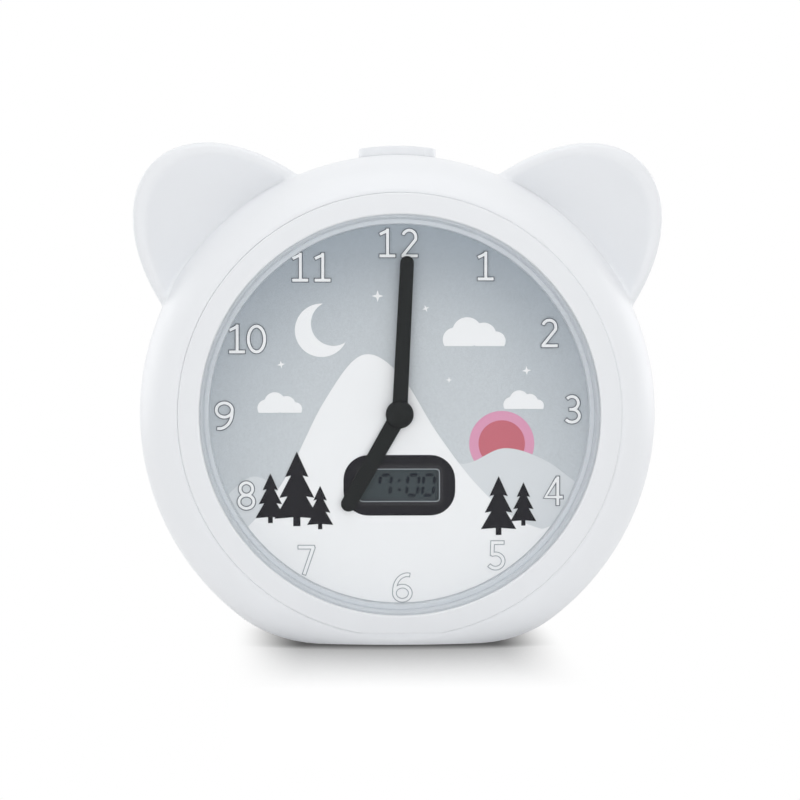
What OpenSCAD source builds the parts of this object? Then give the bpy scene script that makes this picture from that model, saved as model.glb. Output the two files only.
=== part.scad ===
// Round alarm clock with two ears, hands, a small digital display and an inner night light.
// Millimetres. +X is to the viewer's right, +Y to the back, +Z up; the table is z = 0.
// Most pieces are drawn "face on": x to the right, y up from the dial's centre, z to the front.

/* [Case] */
// Height of the dial's centre above the table
dial_z = 74; // [73:0.5:76]
// Radius of the round case
case_r = 83.9; // [82:0.1:86]
// Radius of the case's front edge rounding
front_round = 26; // [25:1:27]
// Radius of the case's rear edge rounding
rear_round = 20; // [19:1:21]
// Depth of the front rounding's start, before the middle plane
band_front = 6; // [6:0.5:7]
// Depth of the rear rounding's start, behind the middle plane
band_rear = 12; // [12:0.5:13]
// Wall of the two shells
wall = 2.2; // [2:0.1:2.4]
// Radius that blends the round case into its flat base
base_round = 48; // [46:1:50]
// Half width between the centres of those two blends
base_half = 26; // [25:0.5:27]
// How far the rubber feet stand out of the base
foot_proud = 0.6; // [0.4:0.1:0.8]

/* [Ears] */
// Distance of each ear's centre from the dial's centre
ear_reach = 76.9; // [75:0.1:78]
// Direction of each ear above the horizontal
ear_angle = 45.8; // [44:0.1:47]
// Half width of an ear, across its direction
ear_half_w = 29.7; // [29:0.1:31]
// Half length of an ear, along its direction
ear_half_l = 35.2; // [34:0.1:36]
// Radius of the rounded rim on an ear's front
ear_rim = 5; // [4.5:0.1:5]
// Radius of the hollow in an ear's front
ear_hollow = 60; // [56:1:64]

/* [Bezel and lens] */
// Outer radius of the front ring
ring_r = 71; // [70.5:0.1:71.2]
// Radius of the front ring's opening
ring_hole_r = 64.1; // [63.8:0.1:64.2]
// Depth of the flat on the front ring's lower edge, below the dial's centre
ring_flat = 69.7; // [69.5:0.1:70]
// Radius of the clear lens
lens_r = 65.4; // [65.2:0.1:65.4]
// Thickness of the clear lens
lens_t = 1.5; // [1.2:0.1:1.5]

/* [Dial and display] */
// Radius of the dial at the foot of the sloped ring around it
dial_seen_r = 61; // [60.5:0.1:61.5]
// Thickness of the dial
dial_t = 0.8; // [0.6:0.1:1]
// Width of the digital display's window
lcd_w = 26; // [25:0.1:27]
// Height of the digital display's window
lcd_h = 10.6; // [10:0.1:11]
// Distance of the window's centre below the dial's centre
lcd_drop = 22.9; // [22.5:0.1:23]

/* [Hands] */
// Length of the minute hand
minute_len = 50.9; // [48:0.1:54]
// Length of the hour hand
hour_len = 35.6; // [33:0.1:38]
// Width of both hands at the tip
hand_tip_w = 4.4; // [4:0.1:5]
// Width of both hands at the hub
hand_root_w = 4.9; // [4.4:0.1:5]
// Direction of the minute hand at rest, clockwise from twelve
minute_at = 2.8; // [0:0.1:360]
// Direction of the hour hand at rest, clockwise from twelve
hour_at = 209.6; // [0:0.1:360]
// Radius of the domed cap over the hands
cap_r = 4.5; // [4:0.1:5]

/* [Buttons] */
// Width of the push button on top
push_w = 25; // [24:0.1:26]
// Front-to-back size of the push button on top
push_d = 15; // [14:0.1:16]
// How far the push button stands out of the case
push_proud = 2.9; // [2.5:0.1:3.2]
// Diameter of the four keys on the back
key_d = 9; // [8.5:0.1:9.5]
// Spacing of the four keys from the middle slider outwards
key_step = 17; // [16.5:0.5:17]

/* [Hidden] */
$fn = 96;

// Colours
white_c = "#eef0f1";
ring_c = "#e6e9eb";
dark_c = "#2b3032";
board_c = "#2f6b46";
metal_c = "#b9bcbf";
brass_c = "#c8a04a";
black_c = "#1f2022";

// Depths, all counted forwards from the plane where the two shells meet
rear_z = -(band_rear + rear_round);
land_z = 28;
seat_z = 25;
flange_t = 2;
lens_z = 27.4;
dial_z0 = 19.7;
dial_front = dial_z0 + dial_t;
chassis_t = 2;
chassis_z = dial_z0 - chassis_t;
crown_r = front_round - 0.4;
key_proud = 1.4;
front_z = band_front + sqrt(pow(crown_r, 2) - pow(ring_hole_r - case_r + front_round, 2));
mid_z = (front_z + rear_z - key_proud) / 2;
far = 200;

// Fits
slide_gap = 0.3;
run_gap = 0.05;

// Case
base_y = foot_proud - dial_z;
seat_r = ring_r + 0.2;
flange_r = 66;
ear_front = 11;
ear_back = -8;
ear_back_round = 8;
post_r = 70.5;
post_at = [45, 135, 225, 315];
post_d = 7;
case_screw_d = 2.4;
case_screw_z = -10;
peg_d = 2.4;
peg_r = 68.4;
peg_at = [20, 70, 110, 160, 200, 250, 290, 340];
lobe_r = 69.2;
lobe_at = [30, 150, 210, 330];
stalk_r = 56.5;
small_screw_d = 2;
foot_d = 8;
foot_x = 21;
foot_z = [16, -20];

// Back: keys, slider, speaker
key_y = 6;
key_x = [-2 * key_step, -key_step, key_step, 2 * key_step];
rear_in = rear_z + wall;
board_t = 1.6;
key_board_z = -22.2;
switch_top = key_board_z - 3.5;
plunger_top = switch_top - 0.8;
board_post_x = 25.5;
slider_at = -1.5;
speaker_y = 38;
speaker_r = 18;

// Batteries
cell_d = 14.5;
cell_l = 50.5;
cell_y = [-15.5, -30.5, -45.5];
cell_z = -22.5;
bay_w = 57.2;
bay_top = -7.7;
bay_bottom = -53.3;
bay_wall = 1.9;
bay_z = -13.8;
tag_z = -18.2;
door_w = 61;
door_top = -6.1;
door_bottom = -54.9;
door_t = 1.6;
door_round = 4;
lug_r = 4.5;
lug_y = -4.5;
tab_x = 18;
tab_w = 8;

// Push button and its switch
push_z = -1;
push_round = 5;
sleeve_y = 77.5;
push_board_y = 67.4;
push_switch_top = push_board_y + board_t + 3.5;
push_plunger_top = push_switch_top + 1.6;
push_post = [18, -5];

// Movement
move_w = 40;
move_top = 35;
move_bottom = -11;
plate_t = 1.6;
plate_z = chassis_z - plate_t;
cover_z = 5.7;
cover_t = 1.5;
case_in_z = cover_z + cover_t;
corner_x = 17.5;
corner_y = [-8.5, 32.5];
arbor_d = 1.6;
tube_d = 4;
pivot_d = 1;
stud_d = 1.2;
drive_m = 0.45;
fine_m = 0.4;
motion_m = 0.4;
hour_m = motion_m * (12 + 36) / (10 + 40);
second_at = [0, drive_m * (40 + 8) / 2];
first_dir = 70;
first_at = second_at + drive_m * (30 + 8) / 2 * [cos(first_dir), sin(first_dir)];
rotor_dir = 80;
rotor_at = first_at + fine_m * (30 + 6) / 2 * [cos(rotor_dir), sin(rotor_dir)];
motion_at = [-motion_m * (12 + 36) / 2, 0];
minute_wheel_z = 9.2;
second_wheel_z = 11.2;
first_wheel_z = 12.9;
motion_wheel_z = 13;
hour_wheel_z = 14.4;
stator_z = 10;
stator_box = [[-12.5, 21.3], [9.5, 32.9]];
limb_w = 4;
hour_hand_z = 21;
minute_hand_z = 22.6;
hand_t = 0.8;

// ---------------------------------------------------------------- helpers

// Draws its children face on: y up from the dial's centre, z to the front. The depth's middle
// comes to y = 0.
module face_on() {
    translate([0, mid_z, dial_z]) rotate([90, 0, 0]) children();
}

// Extrudes a flat shape from depth z0 to depth z1.
module slab(z0, z1) {
    translate([0, 0, z0]) linear_extrude(z1 - z0) children();
}

module disc(r, z0, z1, at = [0, 0]) {
    translate([at[0], at[1], z0]) cylinder(r = r, h = z1 - z0);
}

module box(x0, x1, y0, y1, z0, z1) {
    translate([x0, y0, z0]) cube([x1 - x0, y1 - y0, z1 - z0]);
}

module rounded(w, h, r) {
    square([w - 2 * r, h], center = true);
    square([w, h - 2 * r], center = true);
    for (sx = [-1, 1], sy = [-1, 1])
        translate([sx * (w / 2 - r), sy * (h / 2 - r)]) circle(r);
}

// Places its children on a circle, one for each angle.
module around(r, angles) {
    for (a = angles) rotate([0, 0, a]) translate([r, 0, 0]) children();
}

// A pan-head screw: its head's face is at z0 and its point at z1.
module screw(d, head_d, head_t, z0, z1) {
    dir = z1 > z0 ? 1 : -1;
    difference() {
        union() {
            translate([0, 0, min(z0, z0 + dir * head_t)]) cylinder(d = head_d, h = head_t);
            translate([0, 0, min(z0, z1)]) cylinder(d = d, h = abs(z1 - z0));
        }
        slot_z = z0 - (dir > 0 ? 1 : head_t * 0.55);
        for (a = [0, 90]) rotate([0, 0, a]) translate([-head_d * 0.3, -0.25, slot_z])
            cube([head_d * 0.6, 0.5, 1 + head_t * 0.55]);
    }
}

function unit(v) = v / norm(v);
function tangent(p, i) = unit(p[min(i + 1, len(p) - 1)] - p[max(i - 1, 0)]);

// A round wire of diameter d that follows the points p; ref is never along the wire.
module wire(p, d, ref, sides = 6) {
    rings = [for (i = [0 : len(p) - 1])
        let (t = tangent(p, i), a = unit(cross(t, ref)), b = cross(t, a))
        for (j = [0 : sides - 1])
            p[i] + d / 2 * (cos(360 * j / sides) * a + sin(360 * j / sides) * b)];
    skin = [for (i = [0 : len(p) - 2], j = [0 : sides - 1]) let (k = (j + 1) % sides)
        [i * sides + j, (i + 1) * sides + j, (i + 1) * sides + k, i * sides + k]];
    first = [for (j = [0 : sides - 1]) j];
    last = [for (j = [sides - 1 : -1 : 0]) (len(p) - 1) * sides + j];
    polyhedron(rings, concat(skin, [first, last]));
}

function involute(a) = tan(a) * 180 / PI - a;
function half_tooth(r, teeth, base_r) =
    82 / teeth + involute(20) - involute(acos(min(1, base_r / r)));

// A flat gear with a tooth pointing at the angle turn; tall is the tooth's height past the
// pitch circle and deep its depth inside it, both in modules.
module gear(teeth, m, tall, deep, turn) {
    pitch_r = m * teeth / 2;
    base_r = pitch_r * cos(20);
    radii = [pitch_r - deep * m, pitch_r, pitch_r + tall * m];
    polygon([for (i = [0 : teeth - 1], s = [-1, 1], k = [0 : 2])
        let (r = radii[s < 0 ? k : 2 - k],
            a = turn + 360 * i / teeth + s * half_tooth(max(r, base_r), teeth, base_r))
        r * [cos(a), sin(a)]]);
}

module wheel(teeth, m, turn) { gear(teeth, m, 0.45, 1.15, turn); }
module pinion(teeth, m, turn) { gear(teeth, m, 0.9, 0.75, turn); }

function gap_towards(a, teeth) = a + 180 / teeth;

// ---------------------------------------------------------------- case

// The turned part of the case, drawn in by inset.
module pebble(inset) {
    rotate_extrude() intersection() {
        union() {
            translate([case_r - front_round, band_front]) circle(front_round - inset);
            translate([case_r - rear_round, -band_rear]) circle(rear_round - inset);
            translate([0, -band_rear]) square([case_r - inset, band_front + band_rear]);
            translate([0, rear_z + inset]) square([case_r - rear_round, land_z - rear_z - inset]);
        }
        translate([0, -far]) square([far, far + land_z]);
    }
}

// One ear: a thick oval with a round rim and a hollow front, drawn in by inset.
module ear(inset) {
    rim_x = ear_half_w - ear_rim;
    rotate([0, 0, ear_angle]) translate([ear_reach, 0, 0]) scale([ear_half_l / ear_half_w, 1, 1])
    rotate_extrude() difference() {
        union() {
            translate([rim_x, ear_front - ear_rim]) circle(ear_rim - inset);
            translate([ear_half_w - ear_back_round, ear_back + ear_back_round])
                circle(ear_back_round - inset);
            translate([0, ear_back + ear_back_round])
                square([ear_half_w - inset, ear_front - ear_rim - ear_back - ear_back_round]);
            translate([0, ear_back + inset])
                square([ear_half_w - ear_back_round, ear_front - ear_back - inset]);
        }
        translate([0, ear_front - 6.5 + ear_hollow]) circle(ear_hollow + inset);
        translate([-far, -far]) square([far, 2 * far]);
    }
}

// What the flat base leaves of the case: two wide blends and the flat between them.
module base_form(inset) {
    slab(-far, far) {
        for (s = [-1, 1]) translate([s * base_half, base_y + base_round]) circle(base_round - inset);
        translate([-base_half, base_y + inset]) square([2 * base_half, base_round]);
        translate([-far, -50]) square([2 * far, 2 * far]);
    }
}

module case_form(inset) {
    intersection() {
        pebble(inset);
        base_form(inset);
    }
    ear(inset);
    mirror([1, 0, 0]) ear(inset);
}

// The hollow case between two depths.
module case_wall(z0, z1) {
    difference() {
        intersection() {
            case_form(0);
            box(-far, far, -far, far, z0, z1);
        }
        intersection() {
            case_form(wall);
            box(-far, far, -far, far, -far, seat_z - flange_t);
        }
    }
}

// The upright outline of the push button, grown by grow, between two heights.
module push_form(grow, y0, y1) {
    translate([0, y0, push_z]) rotate([-90, 0, 0]) linear_extrude(y1 - y0)
        rounded(push_w + 2 * grow, push_d + 2 * grow, push_round + grow);
}

// The guide around the push button, between two depths.
module push_sleeve(z0, z1) {
    intersection() {
        push_form(slide_gap + 1.6, sleeve_y, case_r - wall / 2);
        box(-far, far, 0, far, z0, z1);
    }
}

module foot_places(z) {
    for (s = [-1, 1]) translate([s * foot_x, base_y, z]) rotate([-90, 0, 0]) children();
}

module front_shell() {
    color(white_c) face_on() difference() {
        union() {
            case_wall(0, land_z);
            around(post_r, post_at) cylinder(d = post_d, h = seat_z - flange_t / 2);
            around(lobe_r, lobe_at) disc(2.5, dial_z0, seat_z - flange_t / 2);
            push_sleeve(0, far);
        }
        intersection() {
            disc(seat_r, seat_z, far);
            box(-far, far, -ring_flat - 0.2, far, 0, far);
        }
        disc(flange_r, 1, seat_z + 1);
        around(peg_r, peg_at) disc(peg_d / 2, seat_z - flange_t - 1, seat_z + 1);
        around(post_r, post_at) disc(case_screw_d / 2, -1, 12);
        around(lobe_r, lobe_at) disc(small_screw_d / 2, dial_z0 - 1, seat_z - 0.8);
        push_form(slide_gap, 70, case_r + 5);
        foot_places(foot_z[0]) cylinder(d = foot_d, h = 1);
    }
}

// The walls of the battery bay; the troughs' front wall is at bay_z.
module bay_wall_form(grow, z1) {
    box(-bay_w / 2 - grow, bay_w / 2 + grow, bay_bottom - grow, bay_top + grow, rear_z - 1, z1);
}

module door_outline(grow) {
    translate([0, (door_top + door_bottom) / 2])
        rounded(door_w + 2 * grow, door_top - door_bottom + 2 * grow, door_round + grow);
    translate([0, lug_y]) circle(lug_r + grow);
}

module speaker_holes() {
    for (n = [0 : 2], k = [0 : max(0, 6 * n - 1)])
        rotate([0, 0, n == 0 ? 0 : 60 * k / n])
            translate([4.6 * n, 0, 0]) cylinder(d = 2.4, h = 2 * wall);
}

module rear_shell() {
    color(white_c) face_on() difference() {
        union() {
            case_wall(rear_z - 1, 0);
            intersection() {
                union() {
                    bay_wall_form(bay_wall, bay_z + 1.5);
                    around(post_r, post_at) disc(4.5, rear_z, 0);
                }
                pebble(wall / 2);
            }
            disc(3.2, rear_in - 0.5, -22, [0, lug_y]);
            for (s = [-1, 1]) disc(2.3, rear_in - 0.5, key_board_z, [s * board_post_x, key_y]);
            for (s = [-1, 1])
                disc(2.3, rear_in - 0.5, -26.6, [s * (speaker_r + 3.4), speaker_y]);
            difference() {
                disc(speaker_r + 1.6, rear_in - 0.5, -26.6, [0, speaker_y]);
                disc(speaker_r + 0.2, rear_in - 1, 0, [0, speaker_y]);
            }
            for (s = [-1, 1]) translate([s * push_post[0], push_board_y + board_t, push_post[1]])
                rotate([-90, 0, 0]) cylinder(d = 4.6, h = 11);
            push_sleeve(-far, 0);
        }
        bay_wall_form(0, bay_z);
        slab(rear_z - 1, rear_z + door_t) door_outline(0.2);
        disc(1.8, rear_z - 1, -23, [0, lug_y]);
        for (s = [-1, 1])
            box(s * tab_x - tab_w / 2 - 0.5, s * tab_x + tab_w / 2 + 0.5,
                bay_bottom - bay_wall - 0.1, bay_bottom + 1, rear_z + 1, rear_z + 5.2);
        around(post_r, post_at) {
            disc(3.2, rear_z - 1, case_screw_z);
            disc(case_screw_d / 2 + 0.2, rear_z, 1);
        }
        for (x = key_x) disc(key_d / 2 + 0.2, rear_z - 1, rear_in + 1, [x, key_y]);
        translate([-bay_w / 2 - bay_wall, cell_y[0], tag_z]) cube([4, 2.2, 0.6], center = true);
        translate([bay_w / 2 + bay_wall, cell_y[2], tag_z]) cube([4, 2.2, 0.6], center = true);
        box(-4.2, 4.2, key_y - 2.3, key_y + 2.3, rear_z - 1, rear_in + 1);
        for (s = [-1, 1]) {
            disc(small_screw_d / 2, -28, key_board_z + 1, [s * board_post_x, key_y]);
            disc(small_screw_d / 2, -29.4, -26, [s * (speaker_r + 3.4), speaker_y]);
        }
        for (s = [-1, 1]) translate([s * push_post[0], push_board_y + board_t - 1, push_post[1]])
            rotate([-90, 0, 0]) cylinder(d = small_screw_d, h = 7);
        translate([0, speaker_y, rear_z - 1]) speaker_holes();
        push_form(slide_gap, 70, case_r + 5);
        foot_places(foot_z[1]) cylinder(d = foot_d, h = 1);
    }
}

module bezel_ring() {
    color(ring_c) face_on() intersection() {
        union() {
            rotate_extrude() difference() {
                intersection() {
                    translate([case_r - front_round, band_front]) circle(crown_r);
                    translate([ring_hole_r, seat_z]) square([ring_r - ring_hole_r, 10]);
                }
                translate([0, 0]) square([lens_r + 0.1, lens_z + lens_t]);
            }
            around(peg_r, peg_at) disc(peg_d / 2, seat_z - flange_t, seat_z + 1);
        }
        box(-far, far, -ring_flat, far, 0, far);
    }
}

module lens() {
    color("#dfe8ee", 0.25) face_on() disc(lens_r, lens_z, lens_z + lens_t);
}

module dial_surround() {
    color("#b9bfc4") face_on() rotate_extrude() polygon([
        [dial_seen_r + 1.7, dial_z0], [lens_r, dial_z0], [lens_r, lens_z], [ring_hole_r, lens_z],
        [dial_seen_r, dial_front], [dial_seen_r + 1.7, dial_front]
    ]);
}

module dial_plate() {
    color("#c3c8cc") face_on() difference() {
        disc(dial_seen_r + 1.6, dial_z0, dial_front);
        disc(tube_d + 0.2, dial_z0 - 1, dial_front + 1);
        slab(dial_z0 - 1, dial_front + 1) translate([0, -lcd_drop]) rounded(lcd_w + 1.7, lcd_h + 1.7, 1.9);
    }
}

module lcd_frame() {
    color("#9aa0a6") face_on() translate([0, -lcd_drop, 0]) difference() {
        union() {
            slab(dial_z0, dial_front + 0.2) rounded(lcd_w + 1.6, lcd_h + 1.6, 1.8);
            slab(dial_front, dial_front + 0.4) rounded(lcd_w + 2.4, lcd_h + 2.4, 2.4);
        }
        slab(dial_z0 - 1, dial_front + 1) rounded(lcd_w, lcd_h, 1.2);
    }
}

module rubber_feet() {
    color("#6d7073") face_on() for (z = foot_z) foot_places(z)
        translate([0, 0, -foot_proud]) cylinder(d = foot_d, h = 1 + foot_proud);
}

module battery_door() {
    color(white_c) face_on() {
        difference() {
            slab(rear_z, rear_z + door_t) door_outline(0);
            disc(2.7, rear_z - 1, rear_z + 0.9, [0, lug_y]);
            disc(1.3, rear_z - 1, rear_z + 2, [0, lug_y]);
        }
        for (s = [-1, 1]) {
            box(s * tab_x - tab_w / 2, s * tab_x + tab_w / 2, door_bottom, bay_bottom + 0.3,
                rear_z + door_t - 0.2, rear_z + 4.1);
            box(s * tab_x - tab_w / 2, s * tab_x + tab_w / 2, door_bottom - 2.3, door_bottom + 1,
                rear_in + 0.3, rear_z + 4.1);
        }
    }
}

module battery_door_screw() {
    color(metal_c) face_on() translate([0, lug_y, 0]) screw(2.5, 5.2, 0.8, rear_z + 0.1, rear_z + 5.6);
}

module case_screws() {
    color(metal_c) face_on() around(post_r, post_at)
        screw(case_screw_d, 5.6, 2, case_screw_z - 2, 12);
}

// ---------------------------------------------------------------- buttons

module snooze_button() {
    color(white_c) face_on() {
        difference() {
            intersection() {
                push_form(0, 76, case_r + 5);
                pebble(-push_proud);
            }
            push_form(-1.6, 75, case_r - 1);
        }
        difference() {
            push_form(1.5, 76, sleeve_y - slide_gap);
            push_form(-1.6, 75, case_r - 1);
        }
        for (s = [0, 90]) translate([0, 80, push_z]) rotate([0, s, 0])
            cube([(s == 0 ? push_w : push_d) - 2, 6, 1.4], center = true);
        translate([0, push_plunger_top, push_z]) rotate([-90, 0, 0])
            cylinder(d = 6, h = case_r - 0.5 - push_plunger_top);
    }
}

module key(i) {
    color(ring_c) face_on() translate([key_x[i], key_y, 0]) {
        disc(key_d / 2, rear_z - key_proud, rear_in + 0.5);
        disc(key_d / 2 + 1.2, rear_in + slide_gap, rear_in + 1.3);
        disc(2, rear_in + 1, plunger_top);
    }
}

module key_plunger(i) {
    color(black_c) face_on() disc(1.7, plunger_top, switch_top + 0.7, [key_x[i], key_y]);
}

module alarm_slider() {
    color(ring_c) face_on() translate([slider_at, key_y, 0]) {
        box(-2, 2, -2, 2, rear_z - 1, rear_in + 0.5);
        box(-6, 6, -3.2, 3.2, rear_in + slide_gap, rear_in + 1.3);
        box(-1, 1, -1, 1, rear_in + 1, switch_top + 1);
    }
}

// ---------------------------------------------------------------- inner carrier and boards

module chassis() {
    color("#d8dadc") face_on() difference() {
        union() {
            disc(lens_r, chassis_z, dial_z0);
            around(lobe_r, lobe_at) {
                disc(3, chassis_z, dial_z0);
                box(-6, 0, -3, 3, chassis_z, dial_z0);
            }
            around(stalk_r, post_at) disc(2.5, 9.6, chassis_z + 1);
            for (s = [-1, 1]) disc(2.3, 11.5, chassis_z + 1, [s * 19, -23]);
        }
        disc(tube_d + 0.1, chassis_z - 1, dial_z0 + 1);
        box(-15.5, 15.5, -lcd_drop - 8, -lcd_drop + 8, chassis_z - 1, dial_z0 + 1);
        around(lobe_r, lobe_at) disc(small_screw_d / 2, chassis_z - 1, dial_z0 + 1);
        around(stalk_r, post_at) disc(small_screw_d / 2, 9, 16);
        for (s = [-1, 1]) disc(small_screw_d / 2, 11, 17, [s * 19, -23]);
        for (s = [-1, 1], y = corner_y) disc(0.9, chassis_z - 1, 19.2, [s * corner_x, y]);
    }
}

module chassis_screws() {
    color(metal_c) face_on() around(lobe_r, lobe_at)
        screw(small_screw_d, 4, 1.4, chassis_z - 1.4, seat_z - 1);
}

module lcd_glass() {
    color("#6f787f") face_on() box(-15, 15, -lcd_drop - 7.5, -lcd_drop + 7.5, 17.3, 19.6);
}

module lcd_connectors() {
    color("#d98f9a") face_on() for (s = [-1, 1])
        box(-13.5, 13.5, -lcd_drop + 6 * s - 1, -lcd_drop + 6 * s + 1, 11.5, 17.3);
}

module display_board() {
    color(board_c) face_on() difference() {
        box(-22, 22, -33.5, -12.5, 9.9, 11.5);
        for (s = [-1, 1]) disc(small_screw_d / 2, 9, 12, [s * 19, -23]);
    }
}

module display_chips() {
    color(black_c) face_on() {
        intersection() {
            translate([0, -lcd_drop, 9.9 + 3.2]) sphere(7);
            box(-10, 10, -33, -13, 5, 9.9);
        }
        box(10, 13, -30, -22, 7.9, 9.9);
        translate([-12.5, -18, 8.6]) rotate([90, 0, 0]) cylinder(d = 2.6, h = 8);
    }
}

module board_screws() {
    color(metal_c) face_on() {
        around(stalk_r, post_at) screw(small_screw_d, 3.8, 1.3, 8 - 1.3, 15.5);
        for (s = [-1, 1]) translate([s * 19, -23, 0]) screw(small_screw_d, 3.8, 1.3, 9.9 - 1.3, 16.5);
        for (s = [-1, 1]) translate([s * board_post_x, key_y, 0])
            screw(small_screw_d, 3.8, 1.3, key_board_z + board_t + 1.3, -27.5);
        for (s = [-1, 1]) translate([s * push_post[0], push_board_y - 1.3, push_post[1]])
            rotate([-90, 0, 0]) screw(small_screw_d, 3.8, 1.3, 0, 8);
    }
}

module light_board() {
    color("#e4e6e4") face_on() difference() {
        disc(63, 8, 9.6);
        disc(51, 7, 10);
        around(stalk_r, post_at) disc(small_screw_d / 2, 7, 10);
    }
}

module light_leds() {
    color("#f3e2b0") face_on() around(57, [22.5 : 45 : 337.5]) box(-1.75, 1.75, -1.75, 1.75, 6.4, 8);
}

module key_board() {
    color(board_c) face_on() difference() {
        box(-42, 42, key_y - 6.5, key_y + 6.5, key_board_z, key_board_z + board_t);
        for (s = [-1, 1]) disc(small_screw_d / 2, key_board_z - 1, 0, [s * board_post_x, key_y]);
    }
}

module key_switches() {
    color(black_c) face_on() {
        for (x = key_x) translate([x, key_y, 0]) difference() {
            box(-3, 3, -3, 3, switch_top, key_board_z);
            disc(1.8, switch_top - 1, switch_top + 1.6);
        }
        translate([0, key_y, 0]) difference() {
            box(-4.5, 4.5, -2, 2, switch_top, key_board_z);
            box(-2.9, 2.9, -1.2, 1.2, switch_top - 1, switch_top + 1.6);
        }
    }
}

module snooze_board() {
    color(board_c) face_on() difference() {
        box(-21, 21, push_board_y, push_board_y + board_t, -9, 5);
        for (s = [-1, 1]) translate([s * push_post[0], push_board_y - 1, push_post[1]])
            rotate([-90, 0, 0]) cylinder(d = small_screw_d, h = 4);
    }
}

module snooze_switch() {
    color(black_c) face_on() difference() {
        box(-3, 3, push_board_y + board_t, push_switch_top, push_z - 3, push_z + 3);
        translate([0, push_switch_top - 2.5, push_z]) rotate([-90, 0, 0]) cylinder(d = 3.7, h = 4);
    }
}

module snooze_plunger() {
    color("#8c9094") face_on() translate([0, push_switch_top - 0.8, push_z])
        rotate([-90, 0, 0]) cylinder(d = 3.5, h = push_plunger_top - push_switch_top + 0.8);
}

// ---------------------------------------------------------------- movement

module movement_plate() {
    color("#e9e6dc") face_on() difference() {
        union() {
            box(-move_w / 2, move_w / 2, move_bottom, move_top, plate_z, chassis_z);
            disc(tube_d, chassis_z - 1, dial_z0);
            disc(stud_d / 2, 12.8, plate_z + 1, motion_at);
        }
        disc(tube_d / 2 + run_gap, plate_z - 1, dial_z0 + 1);
        for (at = [second_at, first_at, rotor_at])
            disc(pivot_d / 2 + run_gap, plate_z - 1, plate_z + 1, at);
        for (s = [-1, 1], y = corner_y) disc(0.9, plate_z - 1, chassis_z + 1, [s * corner_x, y]);
    }
}

module movement_cover() {
    color("#e9e6dc") face_on() difference() {
        union() {
            difference() {
                box(-move_w / 2, move_w / 2, move_bottom, move_top, cover_z, plate_z);
                box(-move_w / 2 + cover_t, move_w / 2 - cover_t,
                    move_bottom + cover_t, move_top - cover_t, case_in_z, plate_z + 1);
            }
            for (s = [-1, 1], y = corner_y) disc(2.5, cover_z + 0.5, plate_z, [s * corner_x, y]);
            for (y = [23, 31.2]) disc(1.2, case_in_z - 0.5, stator_z, [8.2, y]);
        }
        disc(arbor_d / 2 + run_gap, case_in_z - 1, case_in_z + 1);
        for (at = [second_at, first_at, rotor_at])
            disc(pivot_d / 2 + run_gap, case_in_z - 1, case_in_z + 1, at);
        for (s = [-1, 1], y = corner_y) disc(0.9, cover_z - 1, plate_z + 1, [s * corner_x, y]);
    }
}

module movement_screws() {
    color(metal_c) face_on() for (s = [-1, 1], y = corner_y) translate([s * corner_x, y, 0])
        screw(1.8, 3.6, 1.2, cover_z - 1.2, 18.9);
}

module stator() {
    color("#9fa3a6") face_on() slab(stator_z, stator_z + 1) difference() {
        translate(stator_box[0]) square(stator_box[1] - stator_box[0]);
        translate([stator_box[0][0] + limb_w, stator_box[0][1] + 2]) square([6.5, 7.6]);
        translate(rotor_at) circle(2.6);
    }
}

module coil_bobbin() {
    color("#3f6fae") face_on() difference() {
        union() {
            for (y = [22.3, 30.9]) box(-14.5, -6.5, y, y + 1, 7.5, 13.5);
            box(-13.3, -7.7, 22.3, 31.9, 9.2, 11.8);
        }
        box(stator_box[0][0], stator_box[0][0] + limb_w, 20, 34, stator_z, stator_z + 1);
        box(stator_box[0][0] + limb_w, 0, 30.9, 34, stator_z, stator_z + 1);
        box(stator_box[0][0] + limb_w, 0, 20, 23.3, stator_z, stator_z + 1);
    }
}

module coil_winding() {
    color("#b5652f") face_on() difference() {
        box(-14.2, -6.8, 23.3, 30.9, 7.9, 13.1);
        box(-13.3, -7.7, 20, 34, 9.2, 11.8);
    }
}

// An arbor with pivots in the cover and in the plate.
module arbor(at) {
    disc(pivot_d / 2, case_in_z - 0.8, plate_z + 0.8, at);
}

module rotor() {
    color("#4b4e52") face_on() {
        arbor(rotor_at);
        disc(2.2, 9.3, 11.7, rotor_at);
        slab(first_wheel_z - 0.2, first_wheel_z + 0.8) translate(rotor_at)
            pinion(6, fine_m, gap_towards(rotor_dir + 180, 6));
    }
}

module first_wheel() {
    color(brass_c) face_on() {
        arbor(first_at);
        slab(first_wheel_z, first_wheel_z + 0.6) translate(first_at) wheel(30, fine_m, rotor_dir);
        slab(second_wheel_z - 0.2, second_wheel_z + 0.9) translate(first_at)
            pinion(8, drive_m, gap_towards(first_dir + 180, 8));
    }
}

module second_wheel() {
    color(brass_c) face_on() {
        arbor(second_at);
        slab(second_wheel_z, second_wheel_z + 0.7) translate(second_at) wheel(30, drive_m, first_dir);
        slab(minute_wheel_z - 0.2, minute_wheel_z + 1) translate(second_at)
            pinion(8, drive_m, gap_towards(270, 8));
    }
}

module minute_arbor() {
    color(metal_c) face_on() {
        disc(arbor_d / 2, case_in_z - 0.8, minute_hand_z + hand_t);
        slab(minute_wheel_z, minute_wheel_z + 0.8) wheel(40, drive_m, 90);
        slab(motion_wheel_z - 0.1, motion_wheel_z + 1.1) pinion(12, motion_m, gap_towards(180, 12));
    }
}

module motion_wheel() {
    color(brass_c) face_on() difference() {
        union() {
            slab(motion_wheel_z, motion_wheel_z + 1) translate(motion_at) wheel(36, motion_m, 0);
            slab(motion_wheel_z + 0.5, hour_wheel_z + 1) translate(motion_at)
                pinion(10, hour_m, gap_towards(0, 10));
        }
        disc(stud_d / 2 + run_gap, 10, 20, motion_at);
    }
}

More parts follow.
